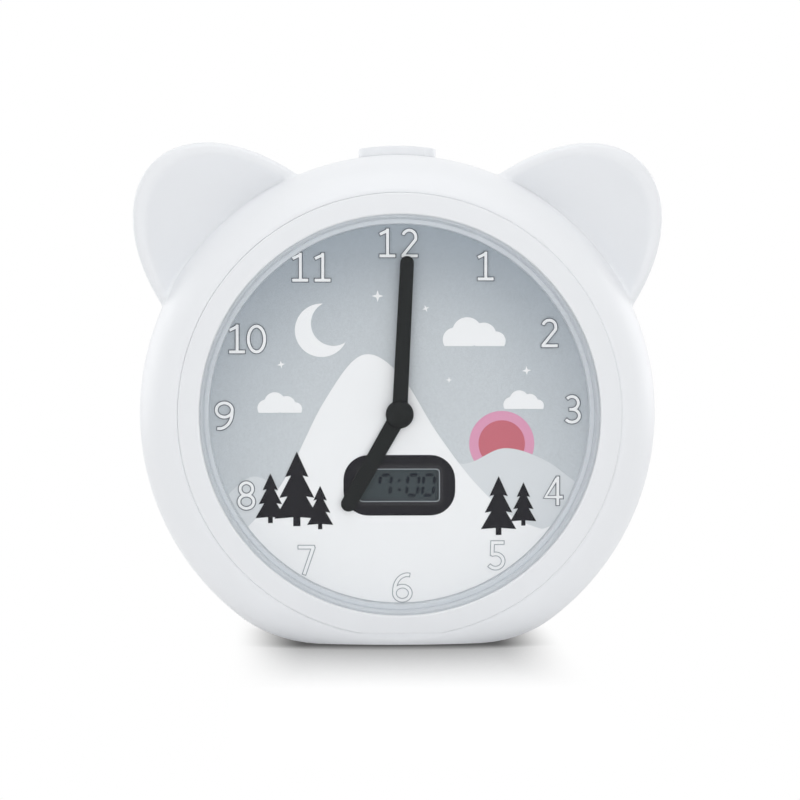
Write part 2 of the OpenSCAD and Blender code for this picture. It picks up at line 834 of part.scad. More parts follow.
module hour_wheel() {
    color(brass_c) face_on() difference() {
        union() {
            slab(hour_wheel_z, hour_wheel_z + 0.8) wheel(40, hour_m, 180);
            disc(tube_d / 2, hour_wheel_z, hour_hand_z + hand_t);
        }
        disc(arbor_d / 2 + run_gap, 10, 30);
    }
}

// ---------------------------------------------------------------- hands

// A tapered hand with a round tip and hub, pointing clockwise from twelve by the angle at.
module hand(length, hub_r, bore_d, z, at) {
    slab(z, z + hand_t) rotate([0, 0, -at]) difference() {
        union() {
            translate([0, length - hand_tip_w / 2]) circle(d = hand_tip_w);
            polygon([
                [-hand_root_w / 2, 0], [hand_root_w / 2, 0],
                [hand_tip_w / 2, length - hand_tip_w / 2], [-hand_tip_w / 2, length - hand_tip_w / 2]
            ]);
            circle(hub_r);
        }
        circle(d = bore_d);
    }
}

module hour_hand() {
    color(dark_c) face_on() hand(hour_len, 4.2, tube_d, hour_hand_z, hour_at);
}

module minute_hand() {
    color(dark_c) face_on() hand(minute_len, 3.6, arbor_d, minute_hand_z, minute_at);
}

module hand_cap() {
    dome_r = 5.2;
    dome_z = minute_hand_z + hand_t;
    color(dark_c) face_on() intersection() {
        translate([0, 0, dome_z + 2.6 - dome_r]) sphere(dome_r);
        disc(cap_r, dome_z, dome_z + 5);
    }
}

// ---------------------------------------------------------------- speaker

module speaker_frame() {
    color(metal_c) face_on() translate([0, speaker_y, 0]) rotate_extrude() polygon([
        [speaker_r - 2.4, rear_in + 0.4], [speaker_r, rear_in + 0.4], [speaker_r, rear_in + 1.4],
        [speaker_r - 1.6, rear_in + 1.4], [10.5, -23.4], [3, -23.4], [3, -24.2],
        [9.7, -24.2], [speaker_r - 2.4, rear_in + 1.2]
    ]);
}

module speaker_cone() {
    color(black_c) face_on() translate([0, speaker_y, 0]) rotate_extrude() polygon([
        [0, -27], [4, -26.6], [speaker_r - 2.5, rear_in + 0.6], [speaker_r - 2.5, rear_in + 0.9],
        [4, -26.2], [4, -25], [3.6, -25], [3.6, -26.3], [0, -26.6]
    ]);
}

module speaker_magnet() {
    color("#55595d") face_on() {
        disc(10, -23.4, -18.5, [0, speaker_y]);
        disc(2.6, -26, -23.4, [0, speaker_y]);
    }
}

module speaker_clips() {
    clip_z = -26.6;
    color(metal_c) face_on() for (s = [-1, 1]) translate([s * (speaker_r + 3.4), speaker_y, 0]) {
        difference() {
            box(s > 0 ? -4.8 : -2.4, s > 0 ? 2.4 : 4.8, -2.4, 2.4, clip_z, clip_z + 0.8);
            disc(small_screw_d / 2, clip_z - 1, clip_z + 1);
        }
        screw(small_screw_d, 3.8, 1.3, clip_z + 0.8 + 1.3, -29);
        box(s > 0 ? -4.8 : 3.4, s > 0 ? -3.4 : 4.8, -2.4, 2.4, rear_in + 1.4, clip_z);
    }
}

// ---------------------------------------------------------------- batteries

// +1 where a cell's raised end is on the right.
cell_dir = [1, -1, 1];

module battery_cells() {
    color("#3d7f8f") face_on() for (y = cell_y) translate([-cell_l / 2 + 0.6, y, cell_z])
        rotate([0, 90, 0]) cylinder(d = cell_d, h = cell_l - 2.2);
}

module battery_terminals() {
    color(metal_c) face_on() for (i = [0 : 2])
        translate([0, cell_y[i], cell_z]) rotate([0, 90 * cell_dir[i], 0]) {
            up = cell_dir[i] > 0;
            translate([0, 0, cell_l / 2 - (up ? 1.6 : 0.6)]) cylinder(d = 5.2, h = up ? 1.6 : 1);
            translate([0, 0, -cell_l / 2 + (up ? 0 : 1)]) cylinder(d = 10, h = 0.6);
        }
}

module battery_contacts() {
    t = 0.4;
    high = 11;
    color(metal_c) face_on() {
        for (s = [-1, 1]) {
            x = s * (bay_w / 2 - t / 2);
            single = s < 0 ? cell_y[0] : cell_y[2];
            pair = s < 0 ? [cell_y[2], cell_y[1]] : [cell_y[1], cell_y[0]];
            translate([x, single, cell_z]) cube([t, high, 9], center = true);
            translate([x, (pair[0] + pair[1]) / 2, cell_z])
                cube([t, high + pair[1] - pair[0], 9], center = true);
            translate([s * (bay_w / 2 - t + 1.7), single, tag_z]) cube([3.4, 2, t], center = true);
        }
    }
}

// A spring that narrows towards its cell, wound about the x axis.
module battery_springs() {
    turns = 4;
    steps = 12 * turns;
    wire_d = 0.5;
    off_plate = 0.42 + wire_d / 2;
    off_cell = 0.02 + wire_d / 2;
    long = bay_w / 2 - off_plate - off_cell - cell_l / 2;
    color(metal_c) face_on() for (i = [0 : 2]) {
        x_end = -cell_dir[i] * (bay_w / 2 - off_plate);
        wire([for (k = [0 : steps]) let (f = k / steps, r = 4.4 - 2 * f, a = 360 * turns * f)
            [x_end + cell_dir[i] * long * f, cell_y[i] + r * cos(a), cell_z + r * sin(a)]],
            wire_d, [1, 0, 0], 5);
    }
}

// ---------------------------------------------------------------- leads

lead_d = 1.1;
// Each lead leaves and meets its board square on. The first two run singly, from the battery's
// tags; the others are pairs.
key_face = key_board_z + board_t + 0.02;
lead_routes = [
    [[-31.1, -15.5, tag_z + 0.22], [-31.1, -15.5, -16], [-34, -12, -11], [-37, -3, -12],
        [-37, 2, -17.5], [-37, 2, key_face]],
    [[31.1, -45.5, tag_z + 0.22], [31.1, -45.5, -16], [36, -30, -10], [38, -8, -11],
        [37, 2, -17.5], [37, 2, key_face]],
    [[12, 3, key_face], [12, 3, -18], [12, 1, -8], [13, -12, 2], [15, -17, 7], [15, -17, 9.88]],
    [[7, 3, key_face], [7, 3, -18], [7, 1, -8], [8, -12, 1], [10.5, -16, 7], [10.5, -16, 9.88]],
    [[8, 27.1, -25.3], [8, 27.1, -22.5], [13, 22, -15], [17, 14, -14], [19, 10, -17.5],
        [19, 10, key_face]],
    [[-21, 3, key_face], [-21, 3, -18], [-30, -4, -8], [-42, -22, 2], [-46, -28, 5],
        [-46, -28, 7.98]],
    [[-12, 67.38, -2], [-12, 64, -2], [-17, 54, -9], [-27, 28, -13], [-29, 10, -17.5],
        [-29, 10, key_face]]
];

module leads() {
    color("#b8433f") face_on() for (i = [0 : len(lead_routes) - 1], s = i < 2 ? [0] : [0, 1])
        wire([for (p = lead_routes[i]) p + s * [1.4, 0, 0]], lead_d, [1, 0.2, 0.1]);
}

// ---------------------------------------------------------------- assembly

front_shell();
rear_shell();
bezel_ring();
lens();
dial_surround();
dial_plate();
lcd_frame();
rubber_feet();
battery_door();
battery_door_screw();
case_screws();
snooze_button();
key(0);  // key_1
key(1);  // key_2
key(2);  // key_3
key(3);  // key_4
alarm_slider();
chassis();
chassis_screws();
lcd_glass();
lcd_connectors();
display_board();
display_chips();
board_screws();
light_board();
light_leds();
movement_plate();
movement_cover();
movement_screws();
stator();
coil_bobbin();
coil_winding();
rotor();
first_wheel();
second_wheel();
minute_arbor();
motion_wheel();
hour_wheel();
hour_hand();
minute_hand();
hand_cap();
speaker_frame();
speaker_cone();
speaker_magnet();
speaker_clips();
battery_cells();
battery_terminals();
battery_springs();
battery_contacts();
key_board();
key_switches();
key_plunger(0);  // key_plunger_1
key_plunger(1);  // key_plunger_2
key_plunger(2);  // key_plunger_3
key_plunger(3);  // key_plunger_4
snooze_board();
snooze_switch();
snooze_plunger();
leads();
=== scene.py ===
"""Looks of a round alarm clock with two ears, hands, a small digital display and a night light.

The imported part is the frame. Each new piece is drawn face on, in millimetres: x to the right,
y up from the dial's centre, z to the front. stand() then brings it to its place in the frame.
"""

from math import asin, cos, degrees, dist, hypot, pi, radians, sin, tan

import bpy
from bpy.props import FloatProperty, FloatVectorProperty, PointerProperty
from mathutils import Matrix, Vector


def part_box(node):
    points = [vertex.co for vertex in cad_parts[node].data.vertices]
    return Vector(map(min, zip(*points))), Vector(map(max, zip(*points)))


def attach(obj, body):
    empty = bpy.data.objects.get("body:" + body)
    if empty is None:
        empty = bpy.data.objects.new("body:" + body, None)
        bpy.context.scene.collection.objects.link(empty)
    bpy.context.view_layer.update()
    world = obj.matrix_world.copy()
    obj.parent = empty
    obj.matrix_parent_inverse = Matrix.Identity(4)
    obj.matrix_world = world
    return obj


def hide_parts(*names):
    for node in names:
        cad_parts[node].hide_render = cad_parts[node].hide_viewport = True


bl_info = {
    "name": "Alarm Clock with Ears",
    "version": (1, 0, 0),
    "blender": (4, 5, 0),
    "location": "3D View > Sidebar > Clock",
    "description": "Builds the looks of a small alarm clock round its packed part",
    "category": "Object",
}

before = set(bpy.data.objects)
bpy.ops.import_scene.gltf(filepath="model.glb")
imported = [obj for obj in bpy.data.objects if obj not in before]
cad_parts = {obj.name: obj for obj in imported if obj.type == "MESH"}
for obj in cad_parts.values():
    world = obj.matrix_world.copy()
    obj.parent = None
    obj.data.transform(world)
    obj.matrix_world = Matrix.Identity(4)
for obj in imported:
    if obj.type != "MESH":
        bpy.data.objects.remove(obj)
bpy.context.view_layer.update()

MM = 0.001
DIAL_FRONT = 20.5
DIAL_R = 60.7
DIAL_LOW, DIAL_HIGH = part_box("dial_plate")
MIDDLE = DIAL_LOW.y / MM + DIAL_FRONT
DIAL_HEIGHT = (DIAL_LOW.z + DIAL_HIGH.z) / 2 / MM

# The case, close to the part's source, in millimetres like all that is drawn
CASE_R = 83.9
FRONT_ROUND = 26
REAR_ROUND = 20
BAND_FRONT = 6
BAND_REAR = -12
REAR = -32
LAND = 28
WALL = 2.2
BASE = 0.25 - DIAL_HEIGHT
BASE_ROUND = 48
BASE_HALF = 26
SEAT = 25
RING_R = 71
RING_HOLE_R = 64.1
RING_FLAT = -69.7
RING_FRONT = 30.8
LENS_TOP = 28.9
LCD_Y = -22.9
LCD_WINDOW = (27.6, 12.2, 1.8)
BAR_DEPTHS = (19.61, 19.64)
HUB_R = 4.4
# Depths well below and above the dial, for tools that cut right through its print
THROUGH = (15, 25)
KEY_X = (-34, -17, 17, 34)
KEY_Y = 6
LUG_Y = -4.5
TAB_X = 18
DOOR_T = 1.6
POST_R = 70.5
POST_ANGLES = (45, 135, 225, 315)

# An ear: half axes of its oval, the way from the dial's centre to it and the lean of that way,
# the radius at which it is turned before it is stretched, the round of its edge and the height of
# its bowl's floor
EAR_AXES = (50.8, 32.0)
EAR_AWAY = 62.8
EAR_LEAN = 45.8
EAR_R = 29.7
EAR_ROUND = 1.9
BOWL_FLOOR = 2.4

# Stands what is drawn face on upright
UPRIGHT = (-pi / 2, 0, 0)

# Points closer than this are merged
MERGE = 0.0005


def paint(code):
    """Turns an sRGB hex colour to linear red, green and blue, with alpha 1."""
    channels = [int(code[i : i + 2], 16) / 255 for i in (1, 3, 5)]
    return [c / 12.92 if c <= 0.04045 else ((c + 0.055) / 1.055) ** 2.4 for c in channels] + [1.0]


def colour(name, description, code):
    return FloatVectorProperty(
        name=name, description=description, subtype="COLOR", size=4, min=0, max=1, default=paint(code)
    )


def length(name, description, millimetres):
    return FloatProperty(name=name, description=description, unit="LENGTH", default=millimetres * MM)


class ClockColours(bpy.types.PropertyGroup):
    """Colours that a user would change."""

    shell: colour("Shell", "Both halves of the case, the ears and the push button", "#eceef1")
    ring: colour("Front ring", "The ring around the lens, the keys and the slider", "#e9ebee")
    surround: colour("Dial surround", "The sloped ring between lens and dial", "#dadee3")
    sky_high: colour("Upper sky", "The dial's ground at the top", "#aab2ba")
    sky_low: colour("Lower sky", "The dial's ground at the bottom", "#d9dde0")
    snow: colour("Snow", "Snow, clouds, moon, stars and numerals", "#fdfdfe")
    far_snow: colour("Far snow", "The hills behind", "#e2e5e8")
    dark: colour("Dark print", "Fir trees and the ground around the display", "#232227")
    sun: colour("Sun", "The low sun", "#cf7480")
    glow: colour("Glow", "The glow around the low sun", "#e5a3c0")
    hands: colour("Hands", "Both hands and their cap", "#121516")


class ClockSizes(bpy.types.PropertyGroup):
    """Sizes that a user would change."""

    skin: length("Shell mesh", "Mesh spacing of the moulded shells", 0.67)
    seam: length("Seam", "Half width of the groove where the two shells meet", 0.3)
    numeral: length("Numerals", "Height of the dial's numerals", 9.3)
    pen: length("Pen", "Width of a numeral's white stroke", 0.95)
    outline: length("Outline", "Width of the line around each numeral", 0.26)
    ink: length("Ink", "Thickness that each printed layer is drawn with", 0.02)
    digit: length("Digits", "Height of the display's digits", 7.4)
    edge: length("Edge", "Radius of the push button's rounded edge", 1.1)


def mm(name):
    """A size from the sidebar, in millimetres."""
    return getattr(bpy.context.scene.clock_sizes, name) / MM


def hue(name):
    """A colour from the sidebar."""
    return list(getattr(bpy.context.scene.clock_colours, name))


# ------------------------------------------------------------------ drawing


def only(obj):
    """Leaves obj as the one selected and active object."""
    bpy.ops.object.select_all(action="DESELECT")
    obj.select_set(True)
    bpy.context.view_layer.objects.active = obj
    return obj


def fresh(start, name, **settings):
    """Adds a primitive with nothing else selected, and names it."""
    bpy.ops.object.select_all(action="DESELECT")
    start(**settings)
    obj = bpy.context.object
    obj.name = obj.data.name = name
    return obj


def mode(which):
    bpy.ops.object.mode_set(mode=which)


def placed(obj):
    """Applies an object's place, turn and size to its mesh."""
    only(obj)
    bpy.ops.object.transform_apply(location=True, rotation=True, scale=True)
    return obj


def shifted(obj, move=(0, 0, 0), turn=(0, 0, 0)):
    """Moves and turns the whole mesh of an object."""
    obj.location, obj.rotation_euler = move, turn
    return placed(obj)


def polar(r, angle):
    """The point at this radius and angle in degrees."""
    return r * cos(radians(angle)), r * sin(radians(angle))


def arc(x, y, r, start, end, steps, high=None):
    """Points on an arc, from one angle in degrees to another; high is its upright radius."""
    turns = [radians(start + (end - start) * i / steps) for i in range(steps + 1)]
    return [(x + r * cos(a), y + (high or r) * sin(a)) for a in turns]


def opened(obj):
    """Opens an object's mesh with all of it selected."""
    only(obj)
    mode("EDIT")
    bpy.ops.mesh.select_all(action="SELECT")


def drag(x, y, z):
    """Extrudes what is selected and moves it."""
    bpy.ops.mesh.extrude_region_move(TRANSFORM_OT_translate={"value": (x, y, z)})


def tidy(obj, merge=MERGE):
    """Merges doubles and turns every face outwards."""
    opened(obj)
    bpy.ops.mesh.remove_doubles(threshold=merge)
    bpy.ops.mesh.normals_make_consistent(inside=False)
    mode("OBJECT")
    return obj


def turned(name, outline, around, closed=False):
    """Turns an outline of (radius, height) points about the z axis, one ring at a time. A closed
    outline comes back to its first point; any other is capped at both ends."""
    r, z = outline[0]
    obj = fresh(
        bpy.ops.mesh.primitive_circle_add, name, vertices=around, radius=r, location=(0, 0, z),
        enter_editmode=True,
    )
    for r1, z1 in outline[1:] + ([outline[0]] if closed else []):
        drag(0, 0, z1 - z)
        if r1 != r:
            bpy.ops.transform.resize(value=(r1 / r, r1 / r, 1), center_override=(0, 0, 0))
        r, z = r1, z1
    if not closed:
        bpy.ops.mesh.select_all(action="SELECT")
        bpy.ops.mesh.fill_holes(sides=0)
    mode("OBJECT")
    return tidy(placed(obj))


def drawn(name, points, low, high):
    """Draws a flat outline point by point, fills it and raises it from low to high."""
    obj = fresh(bpy.ops.mesh.primitive_plane_add, name, size=1, enter_editmode=True)
    bpy.ops.mesh.merge(type="CENTER")
    bpy.ops.transform.translate(value=(points[0][0], points[0][1], low))
    for a, b in zip(points, points[1:] + points[:1]):
        drag(b[0] - a[0], b[1] - a[1], 0)
    bpy.ops.mesh.select_all(action="SELECT")
    bpy.ops.mesh.remove_doubles(threshold=MERGE)
    bpy.ops.mesh.edge_face_add()
    drag(0, 0, high - low)
    mode("OBJECT")
    return tidy(obj)


def block(name, x, y, z):
    """A box from a pair of bounds on each axis."""
    obj = fresh(
        bpy.ops.mesh.primitive_cube_add, name, size=1,
        location=[(a + b) / 2 for a, b in (x, y, z)], scale=[b - a for a, b in (x, y, z)],
    )
    return placed(obj)


def rod(name, x, y, r, low, high, flare=0.0, around=48):
    """A round bar at (x, y). With flare its low end is a cone, which leaves a chamfer where it cuts."""
    start = [(r + flare + 1, low), (r, low + flare + 1)] if flare else [(r, low)]
    obj = turned(name, start + [(r, high)], around)
    return shifted(obj, (x, y, 0))


def rounded(w, h, r, steps=8, y=0.0):
    """The outline of a rounded rectangle about (0, y)."""
    x0, y0 = w / 2 - r, h / 2 - r
    corners = ((x0, y0, 0), (-x0, y0, 90), (-x0, -y0, 180), (x0, -y0, 270))
    return [p for cx, cy, a in corners for p in arc(cx, cy + y, r, a, a + 90, steps)]


def applied(obj, kind, **settings):
    """Adds a modifier, sets it and applies it."""
    modifier = obj.modifiers.new(kind.title(), kind)
    for key, value in settings.items():
        setattr(modifier, key, value)
    only(obj)
    bpy.ops.object.modifier_apply(modifier=modifier.name)
    return obj


def cut(obj, tool, how="DIFFERENCE", solver="MANIFOLD"):
    """Cuts obj with tool, joins them or keeps what they share, and clears the tool away."""
    applied(obj, "BOOLEAN", operation=how, object=tool, solver=solver)
    bpy.data.objects.remove(tool)
    return obj


def eased(obj, width, segments):
    """Rounds every edge sharper than 50 degrees."""
    return applied(
        obj, "BEVEL", width=width, segments=segments, limit_method="ANGLE",
        angle_limit=radians(50), harden_normals=False,
    )


def joined(name, pieces):
    """Makes one object of several."""
    bpy.ops.object.select_all(action="DESELECT")
    for piece in pieces:
        piece.select_set(True)
    bpy.context.view_layer.objects.active = pieces[0]
    if len(pieces) > 1:
        bpy.ops.object.join()
    obj = bpy.context.object
    obj.name = obj.data.name = name
    return obj


def twin(obj, name, move=(0, 0, 0)):
    """A copy with its own mesh, moved."""
    only(obj)
    bpy.ops.object.duplicate(linked=False)
    copy = bpy.context.object
    copy.name = copy.data.name = name
    return shifted(copy, move)


def sliced(obj, keep_above):
    """Cuts an object at the seam and closes the cut."""
    opened(obj)
    bpy.ops.mesh.bisect(
        plane_co=(0, 0, 0), plane_no=(0, 0, 1), use_fill=True,
        clear_inner=keep_above, clear_outer=not keep_above,
    )
    mode("OBJECT")
    return obj


def stand(obj, material, body, slot, *nodes, smooth=35):
    """Brings a finished piece to its place in the frame, gives it its material and its body."""
    obj.matrix_world = (
        Matrix.Translation((0, MIDDLE * MM, DIAL_HEIGHT * MM))
        @ Matrix.Rotation(pi / 2, 4, "X")
        @ Matrix.Scale(MM, 4)
    )
    placed(obj)
    if smooth:
        bpy.ops.object.shade_smooth_by_angle(angle=radians(smooth))
    obj.data.materials.clear()
    obj.data.materials.append(material)
    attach(obj, body)
    if nodes:
        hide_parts(*nodes)
    return obj


# ------------------------------------------------------------------ materials


def node(tree, kind, inputs=None, **settings):
    """Adds a shader node with its settings, its values and its links. A node given as a value
    stands for its first output."""
    made = tree.nodes.new("ShaderNode" + kind)
    for key, value in settings.items():
        setattr(made, key, value)
    for key, value in (inputs or {}).items():
        if isinstance(value, bpy.types.Node):
            value = value.outputs[0]
        if isinstance(value, bpy.types.NodeSocket):
            tree.links.new(value, made.inputs[key])
        else:
            made.inputs[key].default_value = value
    return made


def blank(name):
    """A new material with only its object coordinates."""
    made = bpy.data.materials.new(name)
    made.use_nodes = True
    tree = made.node_tree
    tree.nodes.clear()
    return made, tree, node(tree, "TexCoord").outputs["Object"]


def per(millimetres):
    """The texture scale at which one cell is this long."""
    return 1 / (millimetres * MM)


def two_tone(tree, place, a, b, size, detail=3.0):
    """A slow mottle between two close colours."""
    cloud = node(tree, "TexNoise", {"Vector": place, "Scale": per(size), "Detail": detail})
    mix = node(tree, "Mix", {0: cloud, 6: a, 7: b}, data_type="RGBA")
    return mix.outputs[2], cloud


def fine_grain(tree, place, size, strength, relief, detail=2.0):
    """A noise whose cells are this many millimetres, and the bumps that it makes."""
    noise = node(tree, "TexNoise", {"Vector": place, "Scale": per(size), "Detail": detail})
    return noise, node(tree, "Bump", {"Height": noise, "Strength": strength, "Distance": relief * MM})


def shade(value, factor):
    """A colour made darker or lighter."""
    return [min(1, max(0, c * factor)) for c in value[:3]] + [1.0]


def moulded(name, base, roughness, grain, relief, specular=0.5, mottle=0.985):
    """Moulded plastic: an even colour with a faint mottle, a spark-eroded grain of the given size
    and relief in millimetres, and a roughness that wanders a little."""
    made, tree, place = blank(name)
    tint, cloud = two_tone(tree, place, base, shade(base, mottle), 18)
    wander = node(tree, "MapRange", {
        "Value": cloud, "To Min": roughness - 0.04, "To Max": roughness + 0.04,
    })
    _, bump = fine_grain(tree, place, grain, 0.35, relief)
    shader = node(tree, "BsdfPrincipled", {
        "Base Color": tint, "Roughness": wander, "Normal": bump,
        "IOR": 1.5, "Specular IOR Level": specular,
    })
    node(tree, "OutputMaterial", {0: shader})
    return made


def metal(name, base, roughness):
    """Bare metal: fine drawn or turned lines along one way, with brighter and duller patches."""
    made, tree, place = blank(name)
    tint, _ = two_tone(tree, place, base, shade(base, 0.86), 2.5)
    pulled = node(tree, "Mapping", {"Vector": place, "Scale": (1, 1, 12)})
    grit, bump = fine_grain(tree, pulled, 1.0, 0.25, 0.004, 4.0)
    wander = node(tree, "MapRange", {
        "Value": grit, "To Min": roughness - 0.08, "To Max": roughness + 0.12,
    })
    shader = node(tree, "BsdfPrincipled", {
        "Base Color": tint, "Metallic": 1.0, "Roughness": wander, "Normal": bump,
    })
    node(tree, "OutputMaterial", {0: shader})
    return made


def banded(name, first, second, pitch, axis, share, roughness, metallic=0.0, relief=0.0):
    """Stripes of two colours across one axis, each pair of them pitch wide: wound wire, layered
    rubber or a printed sleeve."""
    made, tree, place = blank(name)
    split = node(tree, "SeparateXYZ", {0: place})
    steps = node(tree, "Math", {0: split.outputs[axis], 1: per(pitch)}, operation="MULTIPLY")
    saw = node(tree, "Math", {0: steps}, operation="FRACT")
    edge = node(tree, "Math", {0: saw, 1: share}, operation="GREATER_THAN")
    mix = node(tree, "Mix", {0: edge, 6: first, 7: second}, data_type="RGBA")
    inputs = {"Base Color": mix.outputs[2], "Roughness": roughness, "Metallic": metallic}
    if relief:
        swell = node(tree, "Math", {0: saw, 1: 0.5}, operation="PINGPONG")
        inputs["Normal"] = node(tree, "Bump", {
            "Height": swell, "Strength": 0.8, "Distance": relief * MM,
        })
    shader = node(tree, "BsdfPrincipled", inputs)
    node(tree, "OutputMaterial", {0: shader})
    return made


def circuit(name, mask, track):
    """Glass-fibre board: glossy solder mask over raised copper tracks, with tinned pads."""
    made, tree, place = blank(name)
    grid = node(tree, "TexBrick", {
        "Vector": place, "Scale": per(14), "Mortar Size": 0.035, "Mortar Smooth": 0.1,
        "Brick Width": 0.62, "Row Height": 0.13,
        "Color1": (0, 0, 0, 1), "Color2": (0, 0, 0, 1), "Mortar": (1, 1, 1, 1),
    })
    pads = node(tree, "TexVoronoi", {"Vector": place, "Scale": per(3.4), "Randomness": 0.55})
    pad = node(tree, "Math", {0: pads, 1: 0.2}, operation="LESS_THAN")
    green = node(tree, "Mix", {0: grid.outputs["Fac"], 6: mask, 7: track}, data_type="RGBA")
    tin = node(tree, "Mix", {0: pad, 6: green.outputs[2], 7: paint("#b9bcbd")}, data_type="RGBA")
    bump = node(tree, "Bump", {"Height": grid.outputs["Fac"], "Strength": 0.5, "Distance": 0.04 * MM})
    shader = node(tree, "BsdfPrincipled", {
        "Base Color": tin.outputs[2], "Roughness": 0.32, "Metallic": pad, "Normal": bump,
    })
    node(tree, "OutputMaterial", {0: shader})
    return made


def inked(name, base, roughness=0.5):
    """Screen-printed ink on film: flat and even, with a trace of the paper white's tooth."""
    made, tree, place = blank(name)
    tint, _ = two_tone(tree, place, base, shade(base, 0.965), 1.2, 5.0)
    _, bump = fine_grain(tree, place, 0.3, 0.2, 0.01)
    shader = node(tree, "BsdfPrincipled", {
        "Base Color": tint, "Roughness": roughness, "Normal": bump, "Specular IOR Level": 0.12,
    })
    node(tree, "OutputMaterial", {0: shader})
    return made


def printed_sky(name, high, low):
    """The dial's printed ground: a grey that is darkest at the top and round the edge, speckled."""
    made, tree, place = blank(name)
    split = node(tree, "SeparateXYZ", {0: place})
    fade = node(tree, "MapRange", {
        "Value": split.outputs["Z"],
        "From Min": (DIAL_HEIGHT - 48) * MM, "From Max": (DIAL_HEIGHT + 56) * MM,
    })
    centre = (0, (MIDDLE - DIAL_FRONT) * MM, DIAL_HEIGHT * MM)
    middle = node(tree, "VectorMath", {0: place, 1: centre}, operation="DISTANCE")
    edge = node(tree, "MapRange", {
        "Value": middle.outputs["Value"], "From Min": 24 * MM, "From Max": 60 * MM,
        "To Min": 0.45, "To Max": 1.0,
    }, interpolation_type="SMOOTHSTEP")
    share = node(tree, "Math", {0: fade, 1: edge}, operation="MULTIPLY")
    ground = node(tree, "Mix", {0: share, 6: low, 7: high}, data_type="RGBA")
    speckle, bump = fine_grain(tree, place, 0.5, 0.2, 0.01, 4.0)
    dots = node(tree, "MapRange", {
        "Value": speckle, "From Min": 0.35, "From Max": 0.65, "To Min": 0.96, "To Max": 1.04,
    })
    toned = node(tree, "VectorMath", {0: ground.outputs[2], 1: dots}, operation="MULTIPLY")
    shader = node(tree, "BsdfPrincipled", {
        "Base Color": toned, "Roughness": 0.5, "Normal": bump, "Specular IOR Level": 0.12,
    })
    node(tree, "OutputMaterial", {0: shader})
    return made


def clear_acrylic(name):
    """Polished clear acrylic: it lets light straight through and mirrors a little, more at the rim."""
    made, tree, _ = blank(name)
    facing = node(tree, "LayerWeight", {"Blend": 0.5})
    steep = node(tree, "Math", {0: facing.outputs["Facing"], 1: 4.0}, operation="POWER")
    share = node(tree, "MapRange", {"Value": steep, "To Min": 0.006, "To Max": 0.45})
    through = node(tree, "BsdfTransparent", {"Color": (0.985, 0.99, 0.992, 1)})
    mirror = node(tree, "BsdfGlossy", {"Color": (1, 1, 1, 1), "Roughness": 0.03})
    mix = node(tree, "MixShader", {0: share, 1: through, 2: mirror})
    node(tree, "OutputMaterial", {0: mix})
    return made


# ------------------------------------------------------------------ the case


def case_outline(inset, top=LAND):
    """The case's profile from the middle of the back to the middle of the front."""
    crown = FRONT_ROUND - inset
    end = degrees(asin((top - BAND_FRONT) / crown))
    return (
        [(1, REAR + inset)]
        + arc(CASE_R - REAR_ROUND, BAND_REAR, REAR_ROUND - inset, -90, 0, 14)
        + arc(CASE_R - FRONT_ROUND, BAND_FRONT, crown, 0, end, 12)
        + [(1, top)]
    )


def base_outline(inset):
    """The outline that the flat base leaves of the case: a flat between two wide arcs."""
    r = BASE_ROUND - inset
    y = BASE + BASE_ROUND
    start = degrees(asin((-50 - y) / r))
    right = arc(BASE_HALF, y, r, start, -90, 12)
    left = [(-x, y) for x, y in reversed(right)]
    return [(100, -50)] + right + left + [(-100, -50), (-100, 100), (100, 100)]


def on_base(obj, inset):
    """Cuts the flat base with its two wide arcs into an object."""
    return cut(obj, drawn("base", base_outline(inset), -60, 60), "INTERSECT")


def ear_outline():
    """An ear's profile: a flat back, a round edge and a rolled rim that falls softly into a bowl."""
    rim = arc(EAR_R - EAR_ROUND, 9.1, EAR_ROUND, 0, 139, 12)
    edge, top = rim[-1]
    bowl = []
    for i in range(1, 31):
        r = edge - (edge - 1) * (i / 30) ** 1.4
        bowl.append((r, BOWL_FLOOR + (top - BOWL_FLOOR) * (r / edge) ** 4))
    return [(1, -8)] + arc(21.7, 0, 8, -90, 0, 8) + rim + bowl


def ear(side):
    """An ear at the right (1) or the left (-1) of someone who faces the clock."""
    obj = turned("ear", ear_outline(), 96)
    obj.scale = (EAR_AXES[0] / EAR_R, EAR_AXES[1] / EAR_R, 1)
    placed(obj)
    x, y = polar(EAR_AWAY, EAR_LEAN)
    lean = radians(EAR_LEAN)
    return shifted(obj, (x * side, y, 0), (0, 0, lean if side > 0 else pi - lean))


def push_bar(name, grow, low, high):
    """An upright bar with the push button's outline."""
    obj = drawn(name, rounded(25 + 2 * grow, 15 + 2 * grow, 5 + grow), low, high)
    return shifted(obj, (0, 0, -1), UPRIGHT)


def door_plate(name, grow, low, high):
    """The battery door's plate with its round screw lug."""
    plate = drawn(name, rounded(61 + 2 * grow, 48.8 + 2 * grow, 4 + grow, y=-30.5), low, high)
    return cut(plate, rod("lug", 0, LUG_Y, 4.5 + grow, low, high), "UNION")


